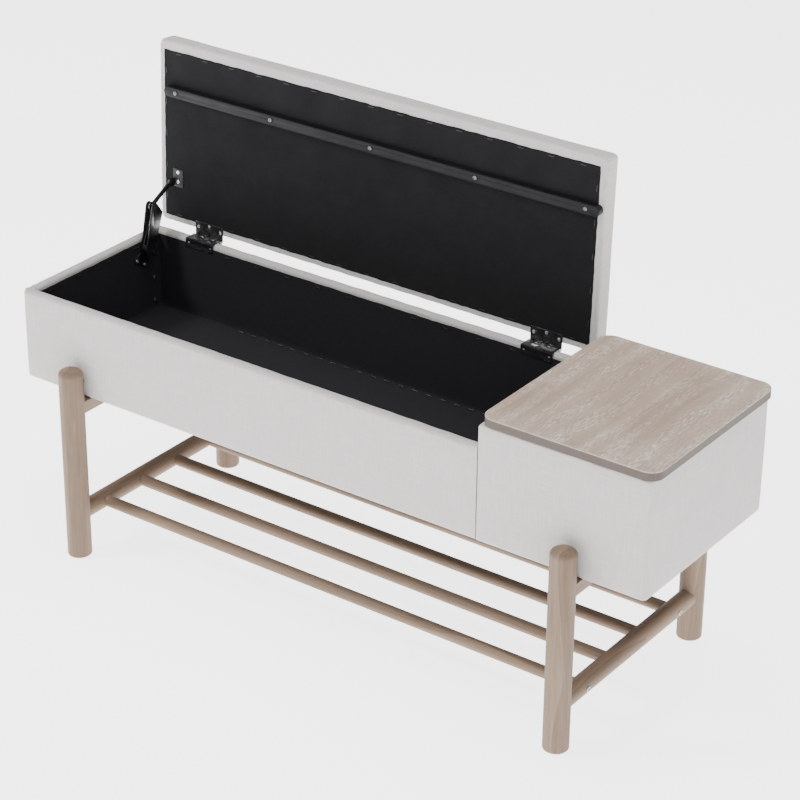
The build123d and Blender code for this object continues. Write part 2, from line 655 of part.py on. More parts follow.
for side, hinge_x in hinge_xs.items():
    start_x = hinge_x - hinge_length / 2
    end_x = hinge_x + hinge_length / 2
    knuckle_starts = [start_x + index * knuckle_length for index in range(knuckle_count)]
    with BuildPart() as box_leaf:
        block((start_x, end_x), (flange_y - hinge_plate, flange_y),
              (rim_height + hinge_plate - hinge_flange, rim_height + hinge_plate))
        block((start_x, end_x), (flange_y, hinge_y), (rim_height, rim_height + hinge_plate))
        for x in knuckle_starts[0::2]:
            side_plate(x, knuckle_length, [(axis_point, hinge_knuckle_radius)])
        for x in knuckle_starts[1::2]:
            block((x - hinge_play, x + knuckle_length + hinge_play),
                  (hinge_y - turning_room, hinge_y + turning_room),
                  (hinge_z - turning_room, hinge_z + turning_room), mode=Mode.SUBTRACT)
        pin((start_x, hinge_y, hinge_z), (1, 0, 0), knuckle_hole, hinge_length, mode=Mode.SUBTRACT)
        for screw in box_leaf_screws[side]:
            pin((screw[0], screw[1] - hinge_plate, screw[2]), (0, 1, 0), small_head / 2 + hole_clearance,
                hinge_plate, mode=Mode.SUBTRACT)
    save(f"hinge_{side}_box_leaf", box_leaf)

    with BuildPart() as lid_leaf:
        lid_block((start_x, end_x), (-hinge_leaf_reach, 0), (leaf_low, shut_underside))
        for x in knuckle_starts[1::2]:
            side_plate(x, knuckle_length, [(axis_point, hinge_knuckle_radius)])
            lid_block((x, x + knuckle_length), (-web_reach, 0), (0, shut_underside))
        pin((start_x, hinge_y, hinge_z), (1, 0, 0), knuckle_hole, hinge_length, mode=Mode.SUBTRACT)
        for screw in lid_leaf_screws[side]:
            pin(tuple(Vector(*screw) - Vector(*lid_out) * hinge_plate), lid_out, small_head / 2 + hole_clearance,
                hinge_plate, mode=Mode.SUBTRACT)
    save(f"hinge_{side}_lid_leaf", lid_leaf)

    with BuildPart() as hinge_pin:
        pin((start_x, hinge_y, hinge_z), (1, 0, 0), hinge_pin_radius, hinge_length)
    save(f"hinge_{side}_pin", hinge_pin)

with BuildPart() as box_hinge_screws:
    small_screws(all_box_leaf_screws, (0, 1, 0), small_screw_reach, hinge_plate)
save("hinge_box_screws", box_hinge_screws)

with BuildPart() as lid_hinge_screws:
    small_screws(all_lid_leaf_screws, lid_out, small_screw_reach, hinge_plate)
save("hinge_lid_screws", lid_hinge_screws)

# ---------------------------------------------------------------- lid stay
box_pivot, elbow, lid_pivot = (from_hinge(point) for point in (stay_box_pivot, stay_elbow, stay_lid_pivot))
low_end, high_end = from_hinge(channel_bottom), from_hinge(channel_top)
run = Vector(0, high_end[0] - low_end[0], high_end[1] - low_end[1])
channel_plane = Plane(origin=(stay_x, *low_end), x_dir=tuple(run), z_dir=(1, 0, 0))
half_channel = channel_depth / 2
flange_xs = (channel_left, channel_right - stay_plate)


def channel_block(x_range, y_range, z_range, mode=Mode.ADD):
    """A box in the channel's frame: x up the channel, y to its front, z across it."""
    sizes = [high - low for low, high in (x_range, y_range, z_range)]
    middle = [(low + high) / 2 for low, high in (x_range, y_range, z_range)]
    with Locations(channel_plane * Location(tuple(middle))):
        Box(*sizes, mode=mode)


with BuildPart() as stay_channel:
    for x in flange_xs:
        side_plate(x, stay_plate, [(low_end, half_channel), (high_end, half_channel), (elbow, stay_ear)])
        side_plate(x, stay_plate, [(low_end, half_channel), (box_pivot, stay_ear)])
    half_width = channel_width / 2
    channel_block((0, run.length), (half_channel - stay_plate, half_channel), (-half_width, half_width))
    channel_block((0, stay_plate), (-half_channel / 2, half_channel - stay_plate), (-half_width, half_width))
    channel_block((channel_slot_end, run.length + stay_plate), (0, half_channel),
                  (-channel_slot / 2, channel_slot / 2), mode=Mode.SUBTRACT)
    side_plate(channel_left, channel_width, [(elbow, rivet_radius + hole_clearance)], mode=Mode.SUBTRACT)
    side_plate(channel_left, channel_width, [(box_pivot, rivet_radius + pivot_clearance)], mode=Mode.SUBTRACT)
save("stay_channel", stay_channel)

with BuildPart() as stay_spring:
    with BuildSketch(Plane(origin=channel_plane.from_local_coords((stay_plate, 0, 0)), z_dir=tuple(run))):
        Circle(spring_radius)
        Circle(spring_hollow, mode=Mode.SUBTRACT)
    extrude(amount=spring_length)
save("stay_spring", stay_spring)

with BuildPart() as stay_plunger:
    pin(channel_plane.from_local_coords((stay_plate, 0, 0)), tuple(run), plunger_radius,
        spring_length + plunger_head)
    pin(channel_plane.from_local_coords((stay_plate + spring_length, 0, 0)), tuple(run), spring_radius, plunger_head)
save("stay_plunger", stay_plunger)

with BuildPart() as stay_arm:
    arm_left = stay_x - arm_thickness / 2
    side_plate(arm_left, arm_thickness, [(elbow, arm_width / 2), (lid_pivot, arm_width / 2)])
    side_plate(arm_left, arm_thickness, [(elbow, stay_ear)])
    side_plate(arm_left, arm_thickness, [(lid_pivot, stay_small_ear)])
    side_plate(arm_left, arm_thickness, [(elbow, rivet_radius + elbow_clearance)], mode=Mode.SUBTRACT)
    side_plate(arm_left, arm_thickness, [(lid_pivot, rivet_radius + pivot_clearance)], mode=Mode.SUBTRACT)
save("stay_arm", stay_arm)

pivot_in_lid = lid_plane.to_local_coords(Vector(ear_left, *lid_pivot))
with BuildPart() as lid_bracket:
    side_plate(ear_left, stay_plate, [(lid_pivot, stay_ear)])
    ear_ys = (pivot_in_lid.Y - stay_ear, pivot_in_lid.Y + stay_ear)
    lid_block((ear_left, ear_left + stay_plate), ear_ys, (pivot_in_lid.Z, shut_underside))
    lid_block((ear_left, ear_left + stay_plate), ear_ys, (shut_underside, shut_underside + stay_ear),
              mode=Mode.SUBTRACT)
    lid_block((ear_left, ear_left + bracket_width),
              (pivot_in_lid.Y + stay_ear - bracket_reach, pivot_in_lid.Y + stay_ear),
              (shut_underside - stay_plate, shut_underside))
    side_plate(ear_left, stay_plate, [(lid_pivot, rivet_radius + hole_clearance)], mode=Mode.SUBTRACT)
    drill(bracket_screws_at, lid_out, small_screw_reach)
save("stay_lid_bracket", lid_bracket)

with BuildPart() as box_bracket:
    side_plate(left_wall_x, stay_plate,
               [(box_pivot, stay_large_ear)] + [((y, z), stay_small_ear) for _, y, z in box_bracket_screws])
    drill(box_bracket_screws, (-1, 0, 0), small_screw_reach)
    side_plate(left_wall_x, stay_plate, [(box_pivot, rivet_radius + hole_clearance)], mode=Mode.SUBTRACT)
save("stay_box_bracket", box_bracket)

# the box rivet stands on its bracket, with a collar that holds the channel off the wall
with BuildPart() as box_rivet:
    side_plate(left_wall_x, channel_right - left_wall_x + side_gap, [(box_pivot, rivet_radius)])
    side_plate(left_wall_x + stay_plate, channel_left - side_gap - left_wall_x - stay_plate,
               [(box_pivot, rivet_head)])
    side_plate(channel_right + side_gap, rivet_head_height, [(box_pivot, rivet_head)])
save("stay_box_rivet", box_rivet)

with BuildPart() as elbow_rivet:
    side_plate(channel_left - rivet_head_height, channel_width + 2 * rivet_head_height, [(elbow, rivet_radius)])
    side_plate(channel_left - rivet_head_height, rivet_head_height, [(elbow, rivet_head)])
    side_plate(channel_right, rivet_head_height, [(elbow, rivet_head)])
save("stay_elbow_rivet", elbow_rivet)

with BuildPart() as lid_rivet:
    rivet_start = arm_left - side_gap
    ear_right = ear_left + stay_plate
    side_plate(rivet_start, ear_right - rivet_start, [(lid_pivot, rivet_radius)])
    side_plate(rivet_start - rivet_head_height, rivet_head_height, [(lid_pivot, rivet_head)])
    side_plate(ear_right, rivet_head_height, [(lid_pivot, rivet_head)])
save("stay_lid_rivet", lid_rivet)

with BuildPart() as bracket_screw_set:
    plate_face = [tuple(Vector(*start) + Vector(*lid_in) * stay_plate) for start in bracket_screws_at]
    small_screws(plate_face, lid_out, small_screw_reach, small_head_height)
save("stay_lid_screws", bracket_screw_set)

with BuildPart() as box_screw_set:
    plate_face = [(x + stay_plate, y, z) for x, y, z in box_bracket_screws]
    small_screws(plate_face, (-1, 0, 0), small_screw_reach, small_head_height)
save("stay_box_screws", box_screw_set)
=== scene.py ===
"""Storage bench with a padded flip-up lid, a limed oak side table and a slatted shoe rack.

Metres, in the shared frame: +Z up, +X along the bench towards the side table, -Y the front.
Lid pieces are made lying shut and then turned open about the hinge axis.
"""

import json
from math import pi, radians, sin

import bmesh
import bpy
from mathutils import Matrix, Vector, noise


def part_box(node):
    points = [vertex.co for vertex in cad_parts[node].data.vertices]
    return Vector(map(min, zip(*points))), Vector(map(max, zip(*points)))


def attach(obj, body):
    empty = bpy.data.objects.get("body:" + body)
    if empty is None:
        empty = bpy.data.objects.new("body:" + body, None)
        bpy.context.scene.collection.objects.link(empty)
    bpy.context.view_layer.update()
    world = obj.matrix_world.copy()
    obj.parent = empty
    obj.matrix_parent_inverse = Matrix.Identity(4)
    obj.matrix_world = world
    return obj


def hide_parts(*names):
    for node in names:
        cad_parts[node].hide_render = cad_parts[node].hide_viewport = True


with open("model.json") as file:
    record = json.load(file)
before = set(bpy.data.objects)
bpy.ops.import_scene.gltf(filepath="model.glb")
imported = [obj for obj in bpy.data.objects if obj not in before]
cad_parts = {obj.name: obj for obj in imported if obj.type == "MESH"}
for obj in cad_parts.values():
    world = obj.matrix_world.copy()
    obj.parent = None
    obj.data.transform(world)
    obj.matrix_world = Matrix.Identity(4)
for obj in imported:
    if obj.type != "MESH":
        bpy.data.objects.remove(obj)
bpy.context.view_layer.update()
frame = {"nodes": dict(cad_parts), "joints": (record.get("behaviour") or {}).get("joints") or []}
MM = 0.001

# ---------------------------------------------------------------- places read from the frame
hinge = Vector(next(j["pos_m"] for j in frame["joints"] if j["name"] == "lid_hinge"))
cover_low, cover_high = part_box("storage_cover")
end_low, end_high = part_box("end_cover")
lining_low, lining_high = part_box("storage_lining")
lid_low, lid_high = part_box("lid_cushion")
leg_boxes = [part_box("leg_" + corner) for corner in ("front_left", "front_right", "rear_left", "rear_right")]
leg_places = [((low.x + high.x) / 2, (low.y + high.y) / 2) for low, high in leg_boxes]
leg_bolt_height = leg_boxes[0][1].z - 28 * MM

# the lid lying shut, along y and z from the hinge axis
LID_OPEN = radians(92)
lid_left, lid_right = lid_low.x, lid_high.x
lid_rear, lid_front = hinge.y - 9 * MM, hinge.y - 325 * MM
lid_under, lid_over = hinge.z + 5 * MM, hinge.z + 55 * MM
lid_lining_left, lid_lining_right = lid_left + 12 * MM, lid_right - 12 * MM
lid_lining_rear, lid_lining_front = lid_rear - 12 * MM, lid_front + 16 * MM
lid_lining_edges = (lid_lining_left, lid_lining_right, lid_lining_front, lid_lining_rear)


# ---------------------------------------------------------------- working helpers
def let_go():
    bpy.ops.object.select_all(action="DESELECT")


def only(piece):
    """Select one piece and make it active."""
    let_go()
    piece.select_set(True)
    bpy.context.view_layer.objects.active = piece


def settle():
    """Bring the place of what is selected into its mesh."""
    bpy.ops.object.transform_apply(location=True, rotation=True, scale=True)


def named(name):
    """Name the piece just added and bring its place into its mesh."""
    piece = bpy.context.object
    piece.name = piece.data.name = name
    settle()
    return piece


def add_object(name, data):
    made = bpy.data.objects.new(name, data)
    bpy.context.scene.collection.objects.link(made)
    return made


def facing(direction):
    """The turn that brings z to a direction."""
    return direction.to_track_quat("Z", "Y").to_matrix().to_4x4()


def block(name, low, high):
    """A blank between two corners, to be cut and shaped."""
    low, high = Vector(low), Vector(high)
    let_go()
    bpy.ops.mesh.primitive_cube_add(size=1, location=(low + high) / 2, scale=high - low)
    return named(name)


def open_up(piece):
    """Edit mode on one piece."""
    only(piece)
    bpy.ops.object.mode_set(mode="EDIT")
    bpy.ops.mesh.select_all(action="DESELECT")


def pick_all():
    bpy.ops.mesh.select_all(action="SELECT")


def close_up():
    bpy.ops.object.mode_set(mode="OBJECT")


def pick(kind, test):
    """In edit mode, select the faces, edges or points that pass a test, and nothing else."""
    bpy.ops.mesh.select_mode(type="VERT")
    bpy.ops.mesh.select_all(action="DESELECT")
    bpy.ops.mesh.select_mode(type=kind)
    shape = bmesh.from_edit_mesh(bpy.context.object.data)
    shape.normal_update()
    for item in {"FACE": shape.faces, "EDGE": shape.edges, "VERT": shape.verts}[kind]:
        if test(item):
            item.select_set(True)
    shape.select_flush_mode()
    bmesh.update_edit_mesh(bpy.context.object.data)


def cut_away(test):
    """In edit mode, delete the faces that pass a test."""
    pick("FACE", test)
    bpy.ops.mesh.delete(type="FACE")


def round_off(radius, segments):
    bpy.ops.mesh.bevel(offset=radius, segments=segments, affect="EDGES")


def mid(edge):
    return (edge.verts[0].co + edge.verts[1].co) / 2


def runs_along(edge, axis):
    line = edge.verts[1].co - edge.verts[0].co
    return line.length > 1e-7 and abs(line[axis]) > 0.999 * line.length


def divide(axis, step):
    """Cut the long quads into strips, across one axis."""
    longest = 0.0
    for edge in bmesh.from_edit_mesh(bpy.context.object.data).edges:
        if runs_along(edge, axis):
            longest = max(longest, edge.calc_length())
    cuts = round(longest / step) - 1
    if cuts > 0:
        pick("EDGE", lambda e: runs_along(e, axis) and e.calc_length() > 0.45 * longest)
        bpy.ops.mesh.subdivide(number_cuts=cuts)


def divide_all(step):
    for axis in range(3):
        divide(axis, step)


def apply_all(piece):
    only(piece)
    for modifier in list(piece.modifiers):
        bpy.ops.object.modifier_apply(modifier=modifier.name)


def thicken(piece, thickness):
    """Give a surface a wall, behind its right side."""
    wall = piece.modifiers.new("wall", "SOLIDIFY")
    wall.thickness = thickness
    wall.offset = -1
    wall.use_even_offset = True
    apply_all(piece)


def smooth(piece, degrees=40):
    only(piece)
    bpy.ops.object.shade_smooth_by_angle(angle=radians(degrees))


def turn_lid_open(piece):
    """Turn a piece made on the shut lid to where the open lid stands."""
    only(piece)
    piece.matrix_world = (
        Matrix.Translation(hinge) @ Matrix.Rotation(-LID_OPEN, 4, "X") @ Matrix.Translation(-hinge)
        @ piece.matrix_world
    )
    settle()


def ripple(place, size, seed=0.0):
    """Soft noise from -1 to 1 that changes over a length."""
    return noise.noise(Vector(place) / size + Vector((seed, 1.7 * seed, 0.3 * seed)))


def ease(value, reach):
    """0 at an edge, 1 a reach away from it, with no kink."""
    t = min(max(value / reach, 0.0), 1.0)
    return t * t * (3 - 2 * t)


def from_edge(place, left, right, front, rear):
    """How far inside a rectangle a point lies."""
    return min(place.x - left, right - place.x, place.y - front, rear - place.y)


def work_surface(piece, move):
    """Move each point along its own normal by what move(place, normal) says."""
    normals = [v.normal.copy() for v in piece.data.vertices]
    for vertex, normal in zip(piece.data.vertices, normals):
        vertex.co += normal * move(vertex.co.copy(), normal)
    piece.data.update()


def lay_weave(piece):
    """Box-project a UV map in metres, for the weave to follow."""
    open_up(piece)
    pick_all()
    bpy.ops.uv.cube_project(cube_size=1.0, correct_aspect=False)
    close_up()


def paint(piece, finish):
    piece.data.materials.clear()
    piece.data.materials.append(finish)


def place_on(piece, body, finish, slot, *stands_for):
    """Finish a new piece: material, body and the CAD nodes it stands for."""
    paint(piece, finish)
    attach(piece, body)
    if stands_for:
        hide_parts(*stands_for)
    return piece


# ---------------------------------------------------------------- material helpers
def feed(tree, socket, value):
    """Link a socket, or set it where the value isn't a socket."""
    if isinstance(value, bpy.types.NodeSocket):
        tree.links.new(value, socket)
    else:
        socket.default_value = value


def node(tree, kind, settings=None, **inputs):
    """Add a shader node; inputs take a value or a socket to link from."""
    made = tree.nodes.new(kind)
    for key, value in (settings or {}).items():
        setattr(made, key, value)
    for key, value in inputs.items():
        numbered = key[0] == "i" and key[1:].isdigit()
        feed(tree, made.inputs[int(key[1:]) if numbered else key.replace("_", " ")], value)
    return made


def sum_up(tree, operation, first, second, clamp=False):
    settings = {"operation": operation, "use_clamp": clamp}
    return node(tree, "ShaderNodeMath", settings, i0=first, i1=second).outputs[0]


def times(tree, first, second):
    return sum_up(tree, "MULTIPLY", first, second)


def spread(tree, value, low, high, out_low=0.0, out_high=1.0):
    made = node(tree, "ShaderNodeMapRange", None, Value=value)
    for key, setting in (("From Min", low), ("From Max", high), ("To Min", out_low), ("To Max", out_high)):
        made.inputs[key].default_value = setting
    return made.outputs[0]


def blend(tree, factor, first, second):
    """Mix two colours, each a socket or a red, green and blue."""
    made = tree.nodes.new("ShaderNodeMix")
    made.data_type = "RGBA"
    for index, value in ((0, factor), (6, first), (7, second)):
        feed(tree, made.inputs[index], (*value, 1) if isinstance(value, tuple) else value)
    return made.outputs[2]


def stretched(tree, vector, scale):
    return node(tree, "ShaderNodeMapping", None, Vector=vector, Scale=scale).outputs[0]


def turned(tree, vector, rotation):
    return node(tree, "ShaderNodeMapping", None, Vector=vector, Rotation=rotation).outputs[0]


def cloud(tree, vector, scale, detail=3.0, roughness=0.55):
    made = node(tree, "ShaderNodeTexNoise", None, Vector=vector, Scale=scale, Detail=detail, Roughness=roughness)
    return made.outputs[0]


def bands(tree, vector, scale, distortion=0.0, detail_scale=1.0, direction="X", profile="SIN"):
    settings = {"wave_type": "BANDS", "bands_direction": direction, "wave_profile": profile}
    return node(
        tree, "ShaderNodeTexWave", settings,
        Vector=vector, Scale=scale, Distortion=distortion, Detail=2.0, Detail_Scale=detail_scale,
    ).outputs["Fac"]


def new_group(name, inputs, outputs):
    """A shader node group with named sockets; returns it with its two ends."""
    group = bpy.data.node_groups.new(name, "ShaderNodeTree")
    for label, kind, value in inputs:
        socket = group.interface.new_socket(label, in_out="INPUT", socket_type=kind)
        if value is not None:
            socket.default_value = value
    for label, kind in outputs:
        group.interface.new_socket(label, in_out="OUTPUT", socket_type=kind)
    return group, group.nodes.new("NodeGroupInput"), group.nodes.new("NodeGroupOutput")


def put_out(tree, end, **values):
    for label, value in values.items():
        tree.links.new(value, end.inputs[label])


def use_group(tree, group, **inputs):
    made = tree.nodes.new("ShaderNodeGroup")
    made.node_tree = group
    for key, value in inputs.items():
        feed(tree, made.inputs[key.replace("_", " ")], value)
    return made


NUMBER, VECTOR = "NodeSocketFloat", "NodeSocketVector"


def timber_grain():
    """Grain that runs along the vector's z: tone, open pores and height."""
    group, start, end = new_group(
        "timber_grain",
        [("Vector", VECTOR, None), ("Figure", NUMBER, 0.35), ("Fineness", NUMBER, 1.0)],
        [("Tone", NUMBER), ("Pores", NUMBER), ("Height", NUMBER)],
    )
    t = group
    place = start.outputs["Vector"]
    sway = times(t, cloud(t, stretched(t, place, (6, 6, 1.2)), 1.0, 2), 0.05)
    offset = node(t, "ShaderNodeCombineXYZ", None, X=sway, Y=sway).outputs[0]
    bent = node(t, "ShaderNodeVectorMath", {"operation": "ADD"}, i0=place, i1=offset).outputs[0]
    streaks = cloud(t, stretched(t, bent, (260, 260, 7)), start.outputs["Fineness"], 5.0, 0.62)
    broad = cloud(t, stretched(t, bent, (38, 38, 1.6)), 1.0, 3)
    rings = bands(t, stretched(t, bent, (1, 1, 0.16)), 7.0, 5.5, 1.4, profile="SAW")
    tone = sum_up(t, "ADD", times(t, streaks, 0.55), times(t, broad, 0.45))
    figure = times(t, sum_up(t, "SUBTRACT", spread(t, rings, 0.35, 1.0), 0.5), start.outputs["Figure"])
    tone = sum_up(t, "ADD", tone, figure, clamp=True)
    specks = cloud(t, stretched(t, bent, (900, 900, 26)), 1.0, 1, 0.4)
    pores = spread(t, specks, 0.6, 0.72)
    height = sum_up(t, "SUBTRACT", times(t, tone, 0.4), times(t, pores, 0.6))
    put_out(t, end, Tone=tone, Pores=pores, Height=height)
    return group


def linen_weave():
    """Plain weave with uneven threads, on a vector in metres: shade, slubs and height."""
    group, start, end = new_group(
        "linen_weave",
        [("Vector", VECTOR, None), ("Threads", NUMBER, 300.0), ("Slub", NUMBER, 0.5)],
        [("Shade", NUMBER), ("Slubs", NUMBER), ("Height", NUMBER)],
    )
    t = group
    place = start.outputs["Vector"]
    drift = stretched(t, place, (90, 90, 1))
    wander = node(t, "ShaderNodeTexNoise", None, Vector=drift, Scale=1.0, Detail=1.0).outputs[1]
    wobble = node(t, "ShaderNodeVectorMath", {"operation": "SCALE"}, i0=wander, Scale=0.0012).outputs[0]
    cloth = node(t, "ShaderNodeVectorMath", {"operation": "ADD"}, i0=place, i1=wobble).outputs[0]
    heights, slubs = [], []
    for direction, along in (("X", (700, 22, 1)), ("Y", (22, 700, 1))):
        threads = bands(t, cloth, start.outputs["Threads"], direction=direction)
        uneven = cloud(t, stretched(t, cloth, along), 1.0, 2, 0.6)
        slubs.append(uneven)
        heights.append(times(t, threads, sum_up(t, "ADD", 0.45, uneven)))
    slub = spread(t, sum_up(t, "MAXIMUM", slubs[0], slubs[1]), 0.5, 0.78)
    weave = sum_up(t, "MAXIMUM", heights[0], heights[1])
    height = sum_up(t, "ADD", weave, times(t, slub, start.outputs["Slub"]))
    shade = sum_up(t, "ADD", times(t, height, 0.7), times(t, slub, 0.3))
    put_out(t, end, Shade=shade, Slubs=slub, Height=height)
    return group


def settled_dust():
    """Uneven marks from handling and dust, on a vector in metres."""
    group, start, end = new_group(
        "settled_dust",
        [("Vector", VECTOR, None), ("Size", NUMBER, 20.0)],
        [("Marks", NUMBER), ("Specks", NUMBER)],
    )
    t = group
    marks = cloud(t, start.outputs["Vector"], start.outputs["Size"], 5.0, 0.65)
    specks = cloud(t, start.outputs["Vector"], 900.0, 1)
    put_out(t, end, Marks=spread(t, marks, 0.35, 0.7), Specks=spread(t, specks, 0.62, 0.75))
    return group


GRAIN, WEAVE, DUST = timber_grain(), linen_weave(), settled_dust()
# turns that bring the grain's axis to z: legs stand, cross rails and bearers run along y, rods along x
UPRIGHT, ACROSS, LENGTHWAYS = (0, 0, 0), (radians(90), 0, 0), (0, radians(90), 0)


def new_finish(name, **constants):
    """A material with its Principled shader; constants go on the shader's own sockets."""
    finish = bpy.data.materials.new(name)
    finish.use_nodes = True
    tree = finish.node_tree
    shader = next(n for n in tree.nodes if n.type == "BSDF_PRINCIPLED")
    for key, value in constants.items():
        shader.inputs[key.replace("_", " ")].default_value = value
    return finish, tree, shader


def object_place(tree):
    return node(tree, "ShaderNodeTexCoord").outputs["Object"]


def dress(tree, shader, colour, wear, roughness, height, distance, strength):
    """Colour, roughness from where wear is 0 to where it is 1, and relief."""
    tree.links.new(colour, shader.inputs["Base Color"])
    tree.links.new(spread(tree, wear, 0.0, 1.0, *roughness), shader.inputs["Roughness"])
    bump = node(tree, "ShaderNodeBump", None, Height=height, Distance=distance, Strength=strength)
    tree.links.new(bump.outputs[0], shader.inputs["Normal"])


def stained_wood(name, turn, dark, light, pore, figure=0.3, liming=0.25):
    """Matt stained wood whose grain runs along the axis that turn brings to z."""
    finish, tree, shader = new_finish(name, Roughness=0.6, Specular_IOR_Level=0.35)
    place = object_place(tree)
    along = turned(tree, place, turn)
    grain = use_group(tree, GRAIN, Vector=along, Figure=figure)
    dust = use_group(tree, DUST, Vector=place, Size=9.0)
    colour = blend(tree, spread(tree, grain.outputs["Tone"], 0.3, 0.72), dark, light)
    colour = blend(tree, times(tree, grain.outputs["Pores"], liming), colour, pore)
    colour = blend(tree, times(tree, dust.outputs["Marks"], 0.14), colour, light)
    dress(tree, shader, colour, grain.outputs["Tone"], (0.66, 0.5), grain.outputs["Height"], 0.00025, 0.6)
    return finish


def limed_oak():
    """The side table: grain along y and pale lime in the open pores; its sides are painted dark as shade, under a
    painted highlight along the arris.
    """
    finish, tree, shader = new_finish("limed_oak_top", Roughness=0.6, Specular_IOR_Level=0.4)
    place = object_place(tree)
    along = turned(tree, place, ACROSS)
    grain = use_group(tree, GRAIN, Vector=along, Figure=0.1, Fineness=0.9)
    patches = cloud(tree, stretched(tree, along, (9, 9, 4)), 1.0, 3)
    colour = blend(tree, spread(tree, patches, 0.36, 0.64), (0.42, 0.315, 0.243), (0.56, 0.445, 0.375))
    colour = blend(tree, spread(tree, grain.outputs["Tone"], 0.62, 0.3, 0.0, 0.55), colour, (0.27, 0.19, 0.14))
    rings = bands(tree, stretched(tree, along, (1, 1, 0.3)), 9.0, 7.0, 1.2)
    flecks = cloud(tree, stretched(tree, along, (1150, 80, 78)), 1.0, 2, 0.45)
    threads = cloud(tree, stretched(tree, along, (420, 60, 22)), 1.0, 2, 0.5)
    open_rings, open_patches = spread(tree, rings, 0.25, 0.7, 0.25), spread(tree, patches, 0.4, 0.58, 0.35)
    open_grain = times(tree, open_rings, open_patches)
    lime = times(tree, spread(tree, flecks, 0.53, 0.62), open_grain)
    lime = sum_up(tree, "MAXIMUM", lime, times(tree, spread(tree, threads, 0.66, 0.74), 0.55))
    colour = blend(tree, times(tree, lime, 0.95), colour, (0.9, 0.84, 0.76))
    height_above = node(tree, "ShaderNodeSeparateXYZ", None, Vector=place).outputs[2]
    board_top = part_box("side_table_board")[1].z
    # painted shade: below the arris, the sides and underside are mixed towards a dark colour
    edge = spread(tree, height_above, board_top - 1.1 * MM, board_top - 1.9 * MM)
    # painted highlight: a pale band along the arris, just under the top
    painted_arris_highlight = times(
        tree,
        spread(tree, height_above, board_top - 2.2 * MM, board_top - 1.2 * MM),
        spread(tree, height_above, board_top - 0.02 * MM, board_top - 0.5 * MM),
    )
    shaded_side_mottle = cloud(tree, stretched(tree, place, (420, 420, 300)), 1.0, 3)
    painted_side_shade_colour = blend(tree, shaded_side_mottle, (0.058, 0.042, 0.034), (0.105, 0.081, 0.067))
    # painted shade on the board's sides
    colour = blend(tree, edge, colour, painted_side_shade_colour)
    # painted highlight on the arris
    colour = blend(tree, times(tree, painted_arris_highlight, 0.4), colour, (0.5, 0.44, 0.39))
    height = sum_up(tree, "SUBTRACT", grain.outputs["Height"], times(tree, lime, 0.35))
    dress(tree, shader, colour, grain.outputs["Tone"], (0.68, 0.48), height, 0.0004, 0.7)
    return finish


def linen(name, warm=(0.44, 0.418, 0.405), cool=(0.62, 0.6, 0.588)):
    """Off-white linen-look upholstery cloth."""
    finish, tree, shader = new_finish(
        name, Roughness=0.92, Specular_IOR_Level=0.25, Sheen_Weight=0.25, Sheen_Roughness=0.45,
    )
    weave_map = node(tree, "ShaderNodeUVMap").outputs[0]
    weave = use_group(tree, WEAVE, Vector=weave_map, Threads=300.0, Slub=0.4)
    dust = use_group(tree, DUST, Vector=object_place(tree), Size=7.0)
    colour = blend(tree, spread(tree, weave.outputs["Shade"], 0.15, 1.0), warm, cool)
    colour = blend(tree, times(tree, dust.outputs["Marks"], 0.12), colour, warm)
    dress(tree, shader, colour, weave.outputs["Slubs"], (0.95, 0.85), weave.outputs["Height"], 0.00022, 0.55)
    return finish


def black_felt(name, painted_light_lift=1.0):
    """Black non-woven lining with pressed fibres; lift multiplies both tones, painted light where a copy must look
    lighter than the same felt.
    """
    finish, tree, shader = new_finish(
        name, Roughness=0.9, Specular_IOR_Level=0.18, Sheen_Weight=0.03, Sheen_Roughness=0.6,
    )
    place = object_place(tree)
    fibres = cloud(tree, stretched(tree, place, (700, 700, 700)), 1.0, 4, 0.7)
    dust = use_group(tree, DUST, Vector=place, Size=14.0)
    # painted light: lift scales both felt tones up
    dark, light = [tuple(painted_light_lift * c for c in tone) for tone in ((0.0025, 0.0025, 0.003), (0.0085, 0.0085, 0.0105))]
    colour = blend(tree, spread(tree, fibres, 0.3, 0.75), dark, light)
    colour = blend(tree, times(tree, dust.outputs["Specks"], 0.25), colour, (0.03, 0.03, 0.033))
    dress(tree, shader, colour, dust.outputs["Marks"], (0.94, 0.8), fibres, 0.0003, 0.5)
    return finish


def metal(name, colour, worn, roughness, metallic, size=60.0, coat=0.0):
    finish, tree, shader = new_finish(name, Coat_Weight=coat, Coat_Roughness=0.15, Metallic=metallic)
    place = object_place(tree)
    dust = use_group(tree, DUST, Vector=place, Size=size)
    mixed = blend(tree, times(tree, dust.outputs["Marks"], 0.6), colour, worn)
    mixed = blend(tree, times(tree, dust.outputs["Specks"], 0.3), mixed, worn)
    wear, pits = dust.outputs["Marks"], cloud(tree, place, 420.0, 3)
    dress(tree, shader, mixed, wear, (roughness, roughness + 0.16), pits, 0.00006, 0.4)
    return finish


def painted_wood():
    """The batten: thin black-green paint over grain, a little lighter where it is handled."""
    finish, tree, shader = new_finish("painted_batten", Roughness=0.45, Specular_IOR_Level=0.22)
    place = object_place(tree)
    along = turned(tree, place, LENGTHWAYS)
    grain = use_group(tree, GRAIN, Vector=along, Figure=0.2)
    dust = use_group(tree, DUST, Vector=place, Size=25.0)
    colour = blend(tree, grain.outputs["Tone"], (0.003, 0.0033, 0.0037), (0.0075, 0.008, 0.009))
    colour = blend(tree, times(tree, dust.outputs["Marks"], 0.3), colour, (0.012, 0.0125, 0.014))
    dress(tree, shader, colour, dust.outputs["Marks"], (0.42, 0.6), grain.outputs["Height"], 0.0002, 0.5)
    return finish


